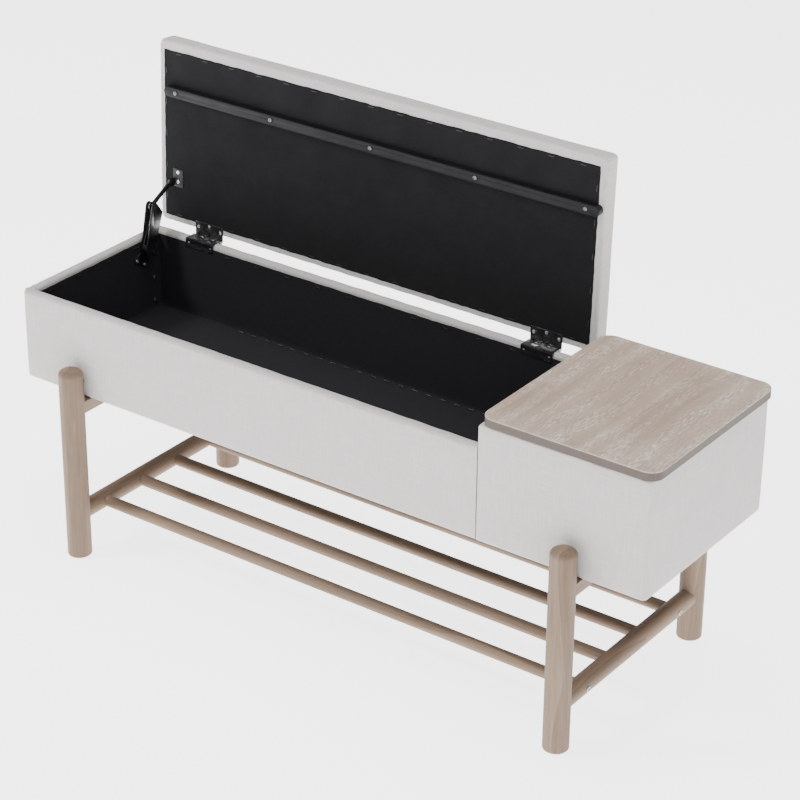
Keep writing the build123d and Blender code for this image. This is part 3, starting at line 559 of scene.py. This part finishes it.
DARK_STAIN, LIGHT_STAIN, PALE_PORE = (0.14, 0.092, 0.06), (0.25, 0.172, 0.117), (0.35, 0.265, 0.197)
leg_wood = stained_wood("leg_wood", UPRIGHT, DARK_STAIN, LIGHT_STAIN, PALE_PORE, 0.22)
rail_wood = stained_wood("cross_rail_wood", ACROSS, DARK_STAIN, LIGHT_STAIN, PALE_PORE, 0.22)
rod_wood = stained_wood("rod_wood", LENGTHWAYS, DARK_STAIN, LIGHT_STAIN, PALE_PORE, 0.25)
bare_wood = stained_wood("bare_wood", UPRIGHT, (0.48, 0.34, 0.19), (0.68, 0.52, 0.33), (0.6, 0.46, 0.28), 0.2, 0.1)
PLY_DARK, PLY_LIGHT, PLY_PORE = (0.5, 0.37, 0.22), (0.7, 0.55, 0.37), (0.6, 0.47, 0.3)
panel_wood = stained_wood("panel_plywood", LENGTHWAYS, PLY_DARK, PLY_LIGHT, PLY_PORE, 0.35, 0.1)
top_oak = limed_oak()
cover_linen = linen("cover_linen")
# the lid cloth: the cover's linen painted a touch lighter, painted light on the open lid
lid_linen_painted_lighter = linen("lid_linen_painted_lighter", (0.45, 0.428, 0.415), (0.63, 0.61, 0.598))
lining_felt = black_felt("lining_felt")
# the box lining: the same felt painted 2.6 times lighter, standing in for light inside the shaded box
storage_felt_painted_light = black_felt("storage_felt_painted_light", 2.6)
batten_paint = painted_wood()
black_steel = metal("black_steel", (0.008, 0.008, 0.009), (0.022, 0.022, 0.024), 0.26, 0.0, 60.0, 0.5)
zinc = metal("zinc_screw", (0.88, 0.88, 0.89), (0.6, 0.6, 0.62), 0.26, 1.0, 300.0)
dark_zinc = metal("dark_screw", (0.12, 0.12, 0.125), (0.3, 0.3, 0.31), 0.35, 1.0, 300.0)
staple_wire = metal("staple_wire", (0.03, 0.03, 0.032), (0.1, 0.1, 0.105), 0.45, 0.6, 300.0)
# the lid bracket's black steel, rougher and without a coat, and painted darker as shade than the same steel
# elsewhere
satin_black_painted_darker = metal("satin_black_painted_darker", (0.003, 0.003, 0.0035), (0.007, 0.007, 0.0075), 0.42, 0.0, 120.0)
spring_steel = metal("spring_steel", (0.32, 0.32, 0.33), (0.5, 0.5, 0.52), 0.3, 1.0, 200.0)
glide_nylon = metal("glide_nylon", (0.035, 0.034, 0.033), (0.08, 0.078, 0.075), 0.5, 0.0, 120.0)

finishes = {
    leg_wood: ["leg_front_left", "leg_front_right", "leg_rear_left", "leg_rear_right"],
    rail_wood: ["lower_rail_left", "lower_rail_right", "bearer_left", "bearer_right"],
    rod_wood: ["shelf_rod_1", "shelf_rod_2", "shelf_rod_3", "shelf_rod_4"],
    bare_wood: ["frame_dowels", "rod_dowels", "corner_blocks"],
    panel_wood: ["bottom_panel", "front_panel", "rear_panel", "left_panel", "right_panel", "divider_panel",
                 "end_top_panel", "lid_board"],
    top_oak: ["side_table_board"],
    batten_paint: ["lid_batten"],
    glide_nylon: ["glides", "leg_spacers"],
    black_steel: ["hinge_left_box_leaf", "hinge_right_box_leaf", "hinge_left_lid_leaf", "hinge_right_lid_leaf",
                  "hinge_left_pin", "hinge_right_pin", "stay_channel", "stay_arm", "stay_lid_bracket",
                  "stay_box_bracket", "stay_box_rivet", "stay_elbow_rivet", "stay_lid_rivet"],
    zinc: ["bearer_screws", "leg_bolts", "table_screws", "hinge_box_screws", "hinge_lid_screws",
           "stay_lid_screws", "stay_box_screws"],
    dark_zinc: ["batten_screws"],
    spring_steel: ["rod_bolts", "stay_spring", "stay_plunger"],
    cover_linen: ["storage_cover", "end_cover", "lid_cushion"],
    lining_felt: ["storage_lining", "lid_lining", "dust_cover"],
}
for finish, names in finishes.items():
    for name in names:
        for place in frame["nodes"][name].material_slots:
            place.material = finish


# ---------------------------------------------------------------- camera, floor and studio light
def set_up_camera():
    yaw, pitch, roll = 0.625, -0.4769, 0.0089
    camera = add_object("camera", bpy.data.cameras.new("camera"))
    camera.data.lens = 119.2
    camera.data.sensor_width = 36
    camera.matrix_world = (
        Matrix.Translation((2.1382, -2.9239, 2.2158))
        @ Matrix.Rotation(yaw, 4, "Z") @ Matrix.Rotation(pi / 2 + pitch, 4, "X") @ Matrix.Rotation(roll, 4, "Z")
    )
    camera.data.clip_end = 200
    bpy.context.scene.camera = camera


def soft_light(name, place, aim_height, size, watts):
    light = add_object(name, bpy.data.lights.new(name, "AREA"))
    light.data.shape = "DISK"
    light.data.size = size
    light.data.energy = watts
    light.matrix_world = Matrix.Translation(place) @ facing(Vector(place) - Vector((0, 0, aim_height)))


def set_up_studio():
    let_go()
    bpy.ops.mesh.primitive_plane_add(size=80, location=(0, 0, 0))
    floor = named("studio_floor")
    pale = new_finish(
        "pale_floor", Base_Color=(0.9, 0.9, 0.9, 1), Roughness=0.9, Specular_IOR_Level=0.1,
        Emission_Color=(1, 1, 1, 1), Emission_Strength=3.2,
    )[0]
    paint(floor, pale)
    soft_light("key_light", (-2.3, -2.2, 3.2), 0.35, 0.9, 95)
    soft_light("fill_light", (3.6, -2.2, 2.2), 0.35, 2.6, 40)
    soft_light("top_light", (0.2, 0.2, 3.6), 0.3, 3.0, 80)
    world = bpy.data.worlds.new("studio_air")
    world.use_nodes = True
    background = next(n for n in world.node_tree.nodes if n.type == "BACKGROUND")
    background.inputs["Color"].default_value = (1, 1, 1, 1)
    background.inputs["Strength"].default_value = 0.45
    bpy.context.scene.world = world


set_up_camera()
set_up_studio()


# ---------------------------------------------------------------- upholstery of the box
SHARP = 0.7  # radians between two faces
# the covers: margin turned in underneath, corner radius, thickness of the cloth, and swell of the wadding
TURNED_IN, CORNER, CLOTH, PAD = 28 * MM, 9 * MM, 1.1 * MM, 1.6 * MM


def outer_edges(e, low, high):
    """Sharp edges around the top and the bottom of a cover."""
    if not e.is_manifold or e.calc_face_angle(0) < SHARP:
        return False
    level = abs(e.verts[0].co.z - e.verts[1].co.z) < 0.1 * MM
    return level and min(abs(mid(e).z - high.z), abs(mid(e).z - low.z)) < 0.1 * MM


def wadding(place, normal, low, high, seam_x):
    """How far the padded cloth stands off the panels at a point of a cover."""
    around = min(place.z - low.z, high.z - place.z)
    ends = min(place.y - low.y, high.y - place.y)
    if abs(normal.y) > 0.7:
        ends = min(place.x - low.x, high.x - place.x)
    elif abs(normal.x) <= 0.7:
        around = 0.02
    swell = PAD * (0.35 + 0.65 * ease(around, 0.035)) * (0.3 + 0.7 * ease(ends, 0.03))
    swell += 0.7 * MM * ripple(place, 0.13, 3.1) + 0.35 * MM * ripple(place, 0.045, 5.7)
    near_edge = 1 - ease(min(abs(place.z - low.z), abs(high.z - place.z)), 0.045)
    swell += 0.35 * MM * near_edge * ripple((place.x, place.y, 0.12 * place.z), 0.014, 7.3)
    swell -= 0.9 * MM * (1 - ease(abs(place.x - seam_x), 0.006))
    for x, y in leg_places:
        away = Vector((place.x - x, (place.y - y) * 0.3, place.z - leg_bolt_height)).length
        swell -= 1.3 * MM * (1 - ease(away, 0.045))
    return swell


def finish_cover(cover, stands_for):
    thicken(cover, CLOTH)
    smooth(cover, 60)
    return place_on(cover, "bench", cover_linen, "cover_fabric", stands_for)


def make_storage_cover():
    low, high = cover_low, cover_high + Vector((0.5 * MM, 0, 0))
    rim, turned_down = 16.5 * MM, 9 * MM  # the cloth over the rim and down inside it
    inner_x, inner_front, inner_rear = low.x + 12 * MM, low.y + 12 * MM, high.y - 12 * MM
    cover = block("storage_cover_cloth", low, high)
    open_up(cover)
    cut_away(lambda f: f.normal.x > 0.9)
    pick("FACE", lambda f: f.normal.z > 0.9)
    bpy.ops.mesh.inset(thickness=rim, depth=0, use_boundary=False)
    bpy.ops.mesh.extrude_region_move(TRANSFORM_OT_translate={"value": (0, 0, -turned_down)})
    bpy.ops.mesh.delete(type="FACE")
    cut_away(lambda f: abs(f.normal.x) > 0.9 and f.calc_center_median().x > high.x - MM)
    pick("FACE", lambda f: f.normal.z < -0.9)
    bpy.ops.mesh.inset(thickness=TURNED_IN, depth=0, use_boundary=False)
    bpy.ops.mesh.delete(type="FACE")
    pick("EDGE", lambda e: runs_along(e, 2) and mid(e).x < low.x + MM)
    round_off(CORNER, 5)
    pick("EDGE", lambda e: outer_edges(e, low, high))
    round_off(5 * MM, 4)
    divide_all(5 * MM)
    close_up()
    lay_weave(cover)

    def in_opening(place):
        return inner_x < place.x and inner_front < place.y < inner_rear and place.z > high.z - 12 * MM

    def soften(place, normal):
        if normal.z < -0.5:
            return 0.0
        if in_opening(place):
            return 0.35 * MM * ripple(place, 0.012, 2.2) + 0.4 * MM * ripple(place, 0.04, 9.0)
        swell = wadding(place, normal, low, high, high.x)
        if normal.z > 0.5:
            swell = 0.9 * MM * ease(min(place.y - low.y, high.y - place.y, place.x - low.x), 6 * MM)
            swell += 0.35 * MM * ripple(place, 0.02, 4.0) + 0.3 * MM * sin(place.x * 2 * pi / 0.055)
            for corner_y in (inner_front, inner_rear):
                away = Vector((place.x - inner_x, place.y - corner_y)).length
                tuck = sin(900 * (place.x - low.x) + 420 * (place.y - corner_y))
                swell += 0.8 * MM * (1 - ease(away, 0.05)) * tuck
        return swell

    work_surface(cover, soften)
    for vertex in cover.data.vertices:
        p = vertex.co
        if in_opening(p) and p.z < high.z - 7 * MM:
            p.z += 1.2 * MM * ripple((p.x, p.y, 0), 0.016, 6.1)
    return finish_cover(cover, "storage_cover")


def faces_storage(f, low):
    """The part of the end section's left side where the storage lining shows instead of cloth."""
    place = f.calc_center_median()
    level = place.z < cover_high.z - 3 * MM
    between = lining_low.y + MM < place.y < lining_high.y - MM
    return f.normal.x < -0.9 and place.x < low.x + 0.5 * MM and level and between


def make_end_cover():
    low, high = end_low, end_high
    cover = block("end_cover_cloth", low, high)
    open_up(cover)
    pick("FACE", lambda f: f.normal.z < -0.9)
    bpy.ops.mesh.inset(thickness=TURNED_IN, depth=0)
    bpy.ops.mesh.delete(type="FACE")
    pick("EDGE", lambda e: runs_along(e, 2) and mid(e).x > high.x - MM)
    round_off(CORNER, 5)
    pick("EDGE", lambda e: runs_along(e, 1) and mid(e).x < low.x + MM and mid(e).z > high.z - MM)
    round_off(8 * MM, 5)
    pick("EDGE", lambda e: e.is_manifold and e.calc_face_angle(0) > SHARP)
    round_off(3.5 * MM, 3)
    divide_all(5 * MM)
    cut_away(lambda f: faces_storage(f, low))
    close_up()
    lay_weave(cover)

    def soften(place, normal):
        if normal.z < -0.5:
            return 0.0
        if normal.z > 0.7:
            return -0.6 * MM * ease(min(place.x - low.x, high.x - place.x), 0.02)
        swell = wadding(place, normal, low, high, low.x)
        under_board = 1 - ease(high.z - place.z, 0.05)
        swell += 0.5 * MM * under_board * ripple((place.x, place.y, 0.2 * place.z), 0.022, 8.8)
        if normal.x < -0.7:
            swell = min(swell, 0.3 * MM)
        return swell

    work_surface(cover, soften)
    return finish_cover(cover, "end_cover")


# ---------------------------------------------------------------- linings
def flat_cloth(name, left, right, front, rear, z, step):
    """A level sheet of small squares, its right side down."""
    size = Vector((right - left, rear - front))
    let_go()
    bpy.ops.mesh.primitive_grid_add(
        x_subdivisions=round(size.x / step), y_subdivisions=round(size.y / step), size=1,
        location=((left + right) / 2, (front + rear) / 2, z),
    )
    bpy.context.object.scale = (size.x, size.y, 1)
    cloth = named(name)
    open_up(cloth)
    pick_all()
    bpy.ops.mesh.flip_normals()
    close_up()
    return cloth


def make_storage_lining():
    low = lining_low + Vector((1, 1, 1)) * MM
    high = lining_high - Vector((1, 1, 0)) * MM
    lining = block("storage_lining_felt", low, high)
    open_up(lining)
    cut_away(lambda f: f.normal.z > 0.9)
    pick("EDGE", lambda e: e.is_manifold)
    round_off(4 * MM, 3)
    pick_all()
    bpy.ops.mesh.flip_normals()
    divide_all(7 * MM)
    close_up()

    def hang(place, normal):
        slack = 0.45 * MM * (1 + ripple(place, 0.06, 1.3)) + 0.25 * MM * (1 + ripple(place, 0.02, 4.4))
        top = 1 - ease(high.z - place.z, 0.02)
        slack += 0.5 * MM * top * (1 + ripple((place.x, place.y, 0), 0.018, 2.9))
        fold = abs(place.y - high.y + 3 * MM) + abs(place.z - low.z - 3 * MM)
        slack += 1.3 * MM * (1 - ease(fold, 6 * MM)) * (0.6 + 0.6 * ripple((place.x, 0, 0), 0.02, 8.1))
        return slack

    work_surface(lining, hang)
    for vertex in lining.data.vertices:
        if vertex.co.z > high.z - 0.5 * MM:
            vertex.co.z -= 0.8 * MM * (1 + ripple((vertex.co.x, vertex.co.y, 0), 0.013, 5.0))
    thicken(lining, 0.8 * MM)
    smooth(lining, 50)
    # the box lining takes the felt painted lighter, painted light for the shaded inside
    return place_on(lining, "bench", storage_felt_painted_light, "lining_fabric", "storage_lining")


def make_lid_lining():
    lining = flat_cloth("lid_lining_felt", *lid_lining_edges, lid_under - 0.3 * MM, 5 * MM)
    for vertex in lining.data.vertices:
        p = vertex.co
        inside = from_edge(p, *lid_lining_edges)
        ragged = 1 - ease(inside, 6 * MM)
        flat = (p.x, p.y, 0)
        p.x += 1.1 * MM * ragged * ripple(flat, 0.012, 3.3)
        p.y += 1.3 * MM * ragged * ripple(flat, 0.014, 6.6)
        p.z -= 0.35 * MM * (1 - ease(inside, 14 * MM)) * (1 + ripple(flat, 0.02, 7.7)) * 0.5
        p.z += 0.25 * MM * ripple(flat, 0.05, 2.1)
    thicken(lining, 0.8 * MM)
    smooth(lining, 50)
    turn_lid_open(lining)
    return place_on(lining, "lid", lining_felt, "lining_fabric", "lid_lining")


def make_dust_cover():
    low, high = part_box("dust_cover")
    overlap, bearer_half = 7 * MM, 17 * MM
    left, right, front, rear = low.x - overlap, high.x + overlap, low.y - overlap, high.y + overlap
    cloth = flat_cloth("dust_cover_felt", left, right, front, rear, low.z + 0.6 * MM, 8 * MM)
    for vertex in cloth.data.vertices:
        p = vertex.co
        edge = from_edge(p, left, right, front, rear)
        clear = min(max(abs(p.x - x) - bearer_half, 0.0) for x, _ in leg_places)
        p.z -= 1.6 * MM * ease(edge, 0.06) * ease(clear, 0.05) * (1 + 0.4 * ripple((p.x, p.y, 0), 0.08, 1.9))
        p.z -= 0.25 * MM * (1 - ease(edge, 0.01)) * (1 + ripple((p.x, p.y, 0), 0.02, 3.0)) * ease(clear, 0.02)
        p.x += MM * (1 - ease(edge, 8 * MM)) * ripple((p.x, p.y, 0), 0.02, 5.5)
        p.y += MM * (1 - ease(edge, 8 * MM)) * ripple((p.x, p.y, 0), 0.02, 9.5)
    thicken(cloth, 0.4 * MM)
    smooth(cloth, 50)
    return place_on(cloth, "bench", lining_felt, "lining_fabric", "dust_cover")


# ---------------------------------------------------------------- lid cushion
def make_lid_cushion():
    """Foam over the lid board, wrapped in cloth that is drawn round to the inside and stapled."""
    shrink, limit, frames = 1 * MM, 8 * MM, 20
    cushion = block(
        "lid_cushion_padded", (lid_left + shrink, lid_front + shrink, lid_under),
        (lid_right - shrink, lid_rear - shrink, lid_over - 8 * MM),
    )
    open_up(cushion)
    pick("EDGE", lambda e: runs_along(e, 2))
    round_off(CORNER, 5)
    pick("EDGE", lambda e: mid(e).z > lid_over - 9 * MM and e.calc_face_angle(0) > SHARP)
    round_off(17 * MM, 5)
    pick("EDGE", lambda e: mid(e).z < lid_under + MM and e.calc_face_angle(0) > SHARP)
    round_off(3 * MM, 3)
    close_up()
    cushion.data.remesh_voxel_size = 5.5 * MM
    bpy.ops.object.voxel_remesh()
    start = [(v.co.copy(), v.normal.copy()) for v in cushion.data.vertices]
    held = cushion.vertex_groups.new(name="held")
    for vertex in cushion.data.vertices:
        fixed = 1.0 - ease(vertex.co.z - lid_under - 2 * MM, 14 * MM)
        held.add([vertex.index], fixed, "REPLACE")
    cloth = cushion.modifiers.new("cloth", "CLOTH")
    for setting, value in {
        "quality": 4, "mass": 0.3,
        "tension_stiffness": 12, "compression_stiffness": 12, "bending_stiffness": 0.4,
        "use_pressure": True, "uniform_pressure_force": 3.0, "shrink_min": -0.015, "vertex_group_mass": "held",
    }.items():
        setattr(cloth.settings, setting, value)
    cloth.settings.effector_weights.gravity = 0
    cloth.collision_settings.use_collision = False
    cloth.point_cache.frame_start, cloth.point_cache.frame_end = 1, frames
    for step in range(1, frames + 1):
        bpy.context.scene.frame_set(step)
    bpy.ops.object.modifier_apply(modifier=cloth.name)
    cushion.vertex_groups.clear()
    bpy.context.scene.frame_set(1)
    for vertex, (place, normal) in zip(cushion.data.vertices, start):
        # only the outward part of the motion is kept, softly limited, with a little along the surface
        moved = vertex.co - place
        out = max(moved.dot(normal), 0.0)
        along = moved - normal * moved.dot(normal)
        along *= min(0.4, MM / max(along.length, MM))
        vertex.co = place + normal * limit * (1 - 1 / (1 + out / limit)) * 1.6 + along
    finer = cushion.modifiers.new("finer", "SUBSURF")
    finer.levels = finer.render_levels = 1
    apply_all(cushion)
    lay_weave(cushion)

    def drawn(place, normal):
        """Creases where the cloth is drawn over the edges, and folded corners on the inside."""
        move = 0.6 * MM * ripple(place, 0.12, 2.0) + 0.3 * MM * ripple(place, 0.04, 6.0)
        if normal.z < 0.5:
            pull = 1 - ease(place.z - lid_under, 0.022)
            move += 0.5 * MM * pull * ripple((place.x, place.y, 0.25 * place.z), 0.011, 4.0)
            for cx in (lid_left, lid_right):
                for cy in (lid_front, lid_rear):
                    away = Vector((place.x - cx, place.y - cy)).length
                    fold = sin(520 * (abs(place.x - cx) - abs(place.y - cy)))
                    move += 1.0 * MM * pull * (1 - ease(away, 0.05)) * fold
        if normal.z < -0.5:
            drawn_in = 1 - ease(from_edge(place, lid_left, lid_right, lid_front, lid_rear), 0.014)
            move = 0.3 * MM * ripple((place.x, place.y, 0), 0.01, 8.0)
            move += 0.25 * MM * sin(place.x * 2 * pi / 0.05) * drawn_in
        return move

    work_surface(cushion, drawn)
    for vertex in cushion.data.vertices:
        p = vertex.co
        if p.z < lid_under + 6 * MM:
            inside = from_edge(p, *lid_lining_edges)
            if inside > 0.5 * MM:
                p.z = max(p.z, lid_under + 1.6 * MM * ease(inside, 6 * MM))
            p.z = max(p.z, lid_under - 0.2 * MM)
    smooth(cushion, 70)
    turn_lid_open(cushion)
    return place_on(cushion, "lid", lid_linen_painted_lighter, "cover_fabric", "lid_cushion")


make_storage_cover()
make_end_cover()
make_storage_lining()
make_lid_lining()
make_dust_cover()
make_lid_cushion()


def make_lid_board():
    """The plywood under the foam, its corners sawn round."""
    low = Vector((lid_left, lid_front, lid_under)) + Vector((5, 5, 1)) * MM
    high = Vector((lid_right, lid_rear, lid_under)) + Vector((-5, -5, 12.5)) * MM
    board = block("lid_board_cut", low, high)
    open_up(board)
    pick("EDGE", lambda e: runs_along(e, 2))
    round_off(14 * MM, 5)
    pick("EDGE", lambda e: e.calc_face_angle(0) > SHARP)
    round_off(0.8 * MM, 2)
    close_up()
    smooth(board, 40)
    turn_lid_open(board)
    return place_on(board, "lid", panel_wood, "panel_wood", "lid_board")


make_lid_board()


# ---------------------------------------------------------------- hardware
def merged_copy(name):
    """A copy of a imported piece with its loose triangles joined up."""
    source = frame["nodes"][name]
    copy = add_object(name + "_eased", source.data.copy())
    open_up(copy)
    pick_all()
    bpy.ops.mesh.remove_doubles(threshold=0.00002)
    close_up()
    return copy


def ease_edges(name, body, finish, slot, width):
    """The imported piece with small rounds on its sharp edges."""
    piece = merged_copy(name)
    open_up(piece)
    pick_all()
    bpy.ops.mesh.dissolve_limited(angle_limit=radians(0.6))
    close_up()
    rounds = piece.modifiers.new("rounds", "BEVEL")
    rounds.width = width
    rounds.segments = 2
    rounds.limit_method = "ANGLE"
    rounds.angle_limit = radians(32)
    rounds.use_clamp_overlap = True
    apply_all(piece)
    smooth(piece, 35)
    return place_on(piece, body, finish, slot, name)


ease_edges("lid_batten", "lid", batten_paint, "painted_batten", 0.9 * MM)
for name, body, steel, width in (
    ("hinge_left_box_leaf", "bench", black_steel, 0.25), ("hinge_left_lid_leaf", "lid", black_steel, 0.25),
    ("hinge_right_box_leaf", "bench", black_steel, 0.25), ("hinge_right_lid_leaf", "lid", black_steel, 0.25),
    ("stay_channel", "stay_channel", black_steel, 0.25), ("stay_arm", "stay_arm", black_steel, 0.4),
    ("stay_lid_bracket", "lid", satin_black_painted_darker, 0.25), ("stay_box_bracket", "bench", black_steel, 0.25),
):
    ease_edges(name, body, steel, "black_metal", width * MM)


def loose_parts(name):
    """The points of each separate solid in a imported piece."""
    copy = merged_copy(name)
    shape = bmesh.new()
    shape.from_mesh(copy.data)
    unseen, parts = dict.fromkeys(shape.verts), []
    while unseen:
        stack, part = [unseen.popitem()[0]], []
        while stack:
            point = stack.pop()
            part.append(point.co.copy())
            for edge in point.link_edges:
                other = edge.other_vert(point)
                if other in unseen:
                    del unseen[other]
                    stack.append(other)
        parts.append(part)
    shape.free()
    bpy.data.objects.remove(copy)
    return sorted(parts, key=lambda part: (round(part[0].x, 3), round(part[0].z, 3)))


def cross_head(name, head_radius, head_height, dome):
    """One screw with a domed head and a cross recess, standing on z with its head's underside at 0."""
    let_go()
    bpy.ops.mesh.primitive_cylinder_add(
        vertices=24, radius=head_radius, depth=head_height, location=(0, 0, head_height / 2),
    )
    screw = named(name)
    open_up(screw)
    pick("FACE", lambda f: f.normal.z > 0.9)
    for inset, rise in ((0.18, 0.45), (0.3, 0.35), (0.35, 0.2)):
        bpy.ops.mesh.inset(thickness=head_radius * inset * 0.8, depth=0)
        bpy.ops.transform.translate(value=(0, 0, dome * rise))
    pick("EDGE", lambda e: abs(mid(e).z - head_height) < 1e-6 and e.calc_face_angle(0) > 0.3)
    round_off(head_height * 0.2, 2)
    pick("FACE", lambda f: f.normal.z < -0.9)
    bpy.ops.mesh.inset(thickness=head_radius * 0.5, depth=0)
    bpy.ops.mesh.extrude_region_move(TRANSFORM_OT_translate={"value": (0, 0, -4 * MM)})
    close_up()
    long_side, short_side = head_radius * 1.15, head_radius * 0.26
    for turn in (0, 90):
        let_go()
        bpy.ops.mesh.primitive_cube_add(
            size=1, location=(0, 0, head_height + dome), rotation=(0, 0, radians(turn)),
            scale=(long_side, short_side, head_height * 1.3),
        )
        cutter = named("recess_cutter")
        cut = screw.modifiers.new("recess", "BOOLEAN")
        cut.operation = "DIFFERENCE"
        cut.object = cutter
        only(screw)
        bpy.ops.object.modifier_apply(modifier=cut.name)
        bpy.data.objects.remove(cutter)
    smooth(screw, 30)
    return screw


def screws_at(name, seats, outward, head_radius, head_height, dome):
    """Copies of one cross-head screw, each with its head's underside at a seat."""
    pattern = cross_head(name + "_pattern", head_radius, head_height, dome)
    upright = facing(Vector(outward).normalized())
    turns = [upright @ Matrix.Rotation(radians(37 + 71 * index), 4, "Z") for index in range(len(seats))]
    return joined(name, pattern, zip(seats, turns))


def joined(name, pattern, places):
    """Copies of a pattern made one piece, each at its (middle, turn)."""
    copies = []
    for middle, turn in places:
        copies.append(add_object(name, pattern.data.copy()))
        copies[-1].matrix_world = Matrix.Translation(middle) @ turn
    bpy.data.objects.remove(pattern)
    let_go()
    for copy in copies:
        copy.select_set(True)
    bpy.context.view_layer.objects.active = copies[0]
    settle()
    bpy.ops.object.join()
    bpy.context.object.name = bpy.context.object.data.name = name
    return bpy.context.object


def set_screws(name, node_name, outward, body, finish, slot, sizes):
    """Cross-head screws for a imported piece's, each head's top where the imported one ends."""
    outward = Vector(outward).normalized()
    head_radius, head_height, dome = [size * MM for size in sizes]
    seats = []
    for part in loose_parts(node_name):
        reach = max(p.dot(outward) for p in part)
        lows = Vector([min(p[a] for p in part) for a in range(3)])
        highs = Vector([max(p[a] for p in part) for a in range(3)])
        middle = (lows + highs) / 2
        seats.append(middle + outward * (reach - head_height - dome - middle.dot(outward)))
    screws = screws_at(name, seats, outward, head_radius, head_height, dome)
    return place_on(screws, body, finish, slot, node_name)


lid_inward = Matrix.Rotation(-LID_OPEN, 3, "X") @ Vector((0, 0, -1))
bracket_head, leaf_head = (3.2, 1.0, 0.6), (2.9, 0.9, 0.5)
for name, stands_for, outward, body, finish, slot, sizes in (
    ("batten_cross_screws", "batten_screws", lid_inward, "lid", dark_zinc, "black_metal", (3.6, 1.0, 0.6)),
    ("lid_leaf_cross_screws", "hinge_lid_screws", lid_inward, "lid", zinc, "screw_steel", leaf_head),
    ("box_leaf_cross_screws", "hinge_box_screws", (0, -1, 0), "bench", zinc, "screw_steel", leaf_head),
    ("lid_bracket_cross_screws", "stay_lid_screws", lid_inward, "lid", zinc, "screw_steel", bracket_head),
    ("box_bracket_cross_screws", "stay_box_screws", (1, 0, 0), "bench", zinc, "screw_steel", bracket_head),
):
    set_screws(name, stands_for, outward, body, finish, slot, sizes)


def make_spring():
    """The stay's spring, wound round the plunger inside the channel."""
    channel_low, channel_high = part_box("stay_channel")
    foot = Vector(((channel_low.x + channel_high.x) / 2, hinge.y - 62 * MM, hinge.z - 20 * MM))
    axis = Vector((0, 24, 59)).normalized()
    turns, length, wire = 13, 38 * MM, 0.7 * MM
    let_go()
    bpy.ops.mesh.primitive_circle_add(
        vertices=8, radius=wire, location=(3.5 * MM, 0, 0), rotation=(pi / 2, 0, 0),
    )
    spring = named("stay_spring_coil")
    wind = spring.modifiers.new("wind", "SCREW")
    wind.axis = "Z"
    wind.screw_offset = (length - 1.6 * MM) / turns
    wind.iterations = turns
    wind.steps = wind.render_steps = 16
    wind.use_merge_vertices = False
    apply_all(spring)
    open_up(spring)
    pick("EDGE", lambda e: e.is_boundary)
    bpy.ops.mesh.edge_face_add()
    pick_all()
    bpy.ops.mesh.normals_make_consistent(inside=False)
    close_up()
    spring.matrix_world = Matrix.Translation(foot + axis * 2.1 * MM) @ facing(axis)
    only(spring)
    settle()
    smooth(spring, 60)
    return place_on(spring, "stay_channel", spring_steel, "spring_steel", "stay_spring")


make_spring()


def make_staples(name, places, body, finish, turned=False):
    """Wire staples: each place is (middle, along, outward)."""
    pattern = block(name + "_pattern", Vector((-5, -0.55, -0.1)) * MM, Vector((5, 0.55, 0.4)) * MM)
    open_up(pattern)
    pick("FACE", lambda f: abs(f.normal.x) > 0.9)
    bpy.ops.mesh.extrude_region_move(TRANSFORM_OT_translate={"value": (0, 0, -0.6 * MM)})
    pick_all()
    round_off(0.14 * MM, 2)
    close_up()
    turned_places = []
    for middle, along, outward in places:
        along, outward = Vector(along).normalized(), Vector(outward).normalized()
        turned_places.append((middle, Matrix((along, outward.cross(along), outward)).transposed().to_4x4()))
    staples = joined(name, pattern, turned_places)
    if turned:
        turn_lid_open(staples)
    return place_on(staples, body, finish, "screw_steel")


def spaced(start, stop, pitch):
    count = max(2, round((stop - start) / pitch) + 1)
    return [start + (stop - start) * index / (count - 1) for index in range(count)]


wall_top = lining_high.z - 6.5 * MM
wall_places = []
for x in spaced(lining_low.x + 25 * MM, lining_high.x - 25 * MM, 62 * MM):
    lean = 0.25 * ripple((x, 0, 0), 0.05, 3.0)
    wall_places.append(((x, lining_high.y - 2.9 * MM, wall_top), (1, 0, lean), (0, -1, 0)))
    wall_places.append(((x + 11 * MM, lining_low.y + 2.9 * MM, wall_top), (1, 0, -lean), (0, 1, 0)))
for y in spaced(lining_low.y + 30 * MM, lining_high.y - 60 * MM, 60 * MM):
    wall_places.append(((lining_low.x + 2.9 * MM, y, wall_top), (0, 1, 0), (1, 0, 0)))
for x in spaced(lining_low.x + 180 * MM, lining_high.x - 30 * MM, 27 * MM):
    foot = (x + 3 * MM * ripple((x, 5, 0), 0.03, 1.0), lining_high.y - 7 * MM, lining_low.z + 3.4 * MM)
    wall_places.append((foot, (1, 0.2 * ripple((x, 0, 0), 0.02), 0), (0, -0.3, 0.95)))
make_staples("lining_staples", wall_places, "bench", dark_zinc)

corner_seats = [(lining_low.x + 1.9 * MM, lining_high.y - 16 * MM, height * MM) for height in (350, 309)]
corner_screws = screws_at("corner_wall_screws", corner_seats, (1, 0, 0), 4.5 * MM, 1.0 * MM, 1.0 * MM)
place_on(corner_screws, "bench", dark_zinc, "screw_steel")

pins = [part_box(f"hinge_{side}_pin") for side in ("left", "right")]
lid_places, level, down = [], lid_under - 0.75 * MM, (0, 0, -1)
for x in spaced(lid_lining_left + 30 * MM, lid_lining_right - 30 * MM, 56 * MM):
    lid_places.append(((x, lid_lining_front + 4 * MM, level), (1, 0.1 * ripple((x, 1, 0), 0.03), 0), down))
    if min(abs(x - (low.x + high.x) / 2) for low, high in pins) > 40 * MM:
        lid_places.append(((x, lid_lining_rear - 4 * MM, level), (1, 0.1 * ripple((x, 2, 0), 0.03), 0), down))
for y in spaced(lid_lining_front + 35 * MM, lid_lining_rear - 35 * MM, 56 * MM):
    lid_places.append(((lid_lining_left + 4 * MM, y, level), (0.05, 1, 0), down))
    lid_places.append(((lid_lining_right - 4 * MM, y, level), (-0.05, 1, 0), down))
make_staples("lid_lining_staples", lid_places, "lid", staple_wire, turned=True)
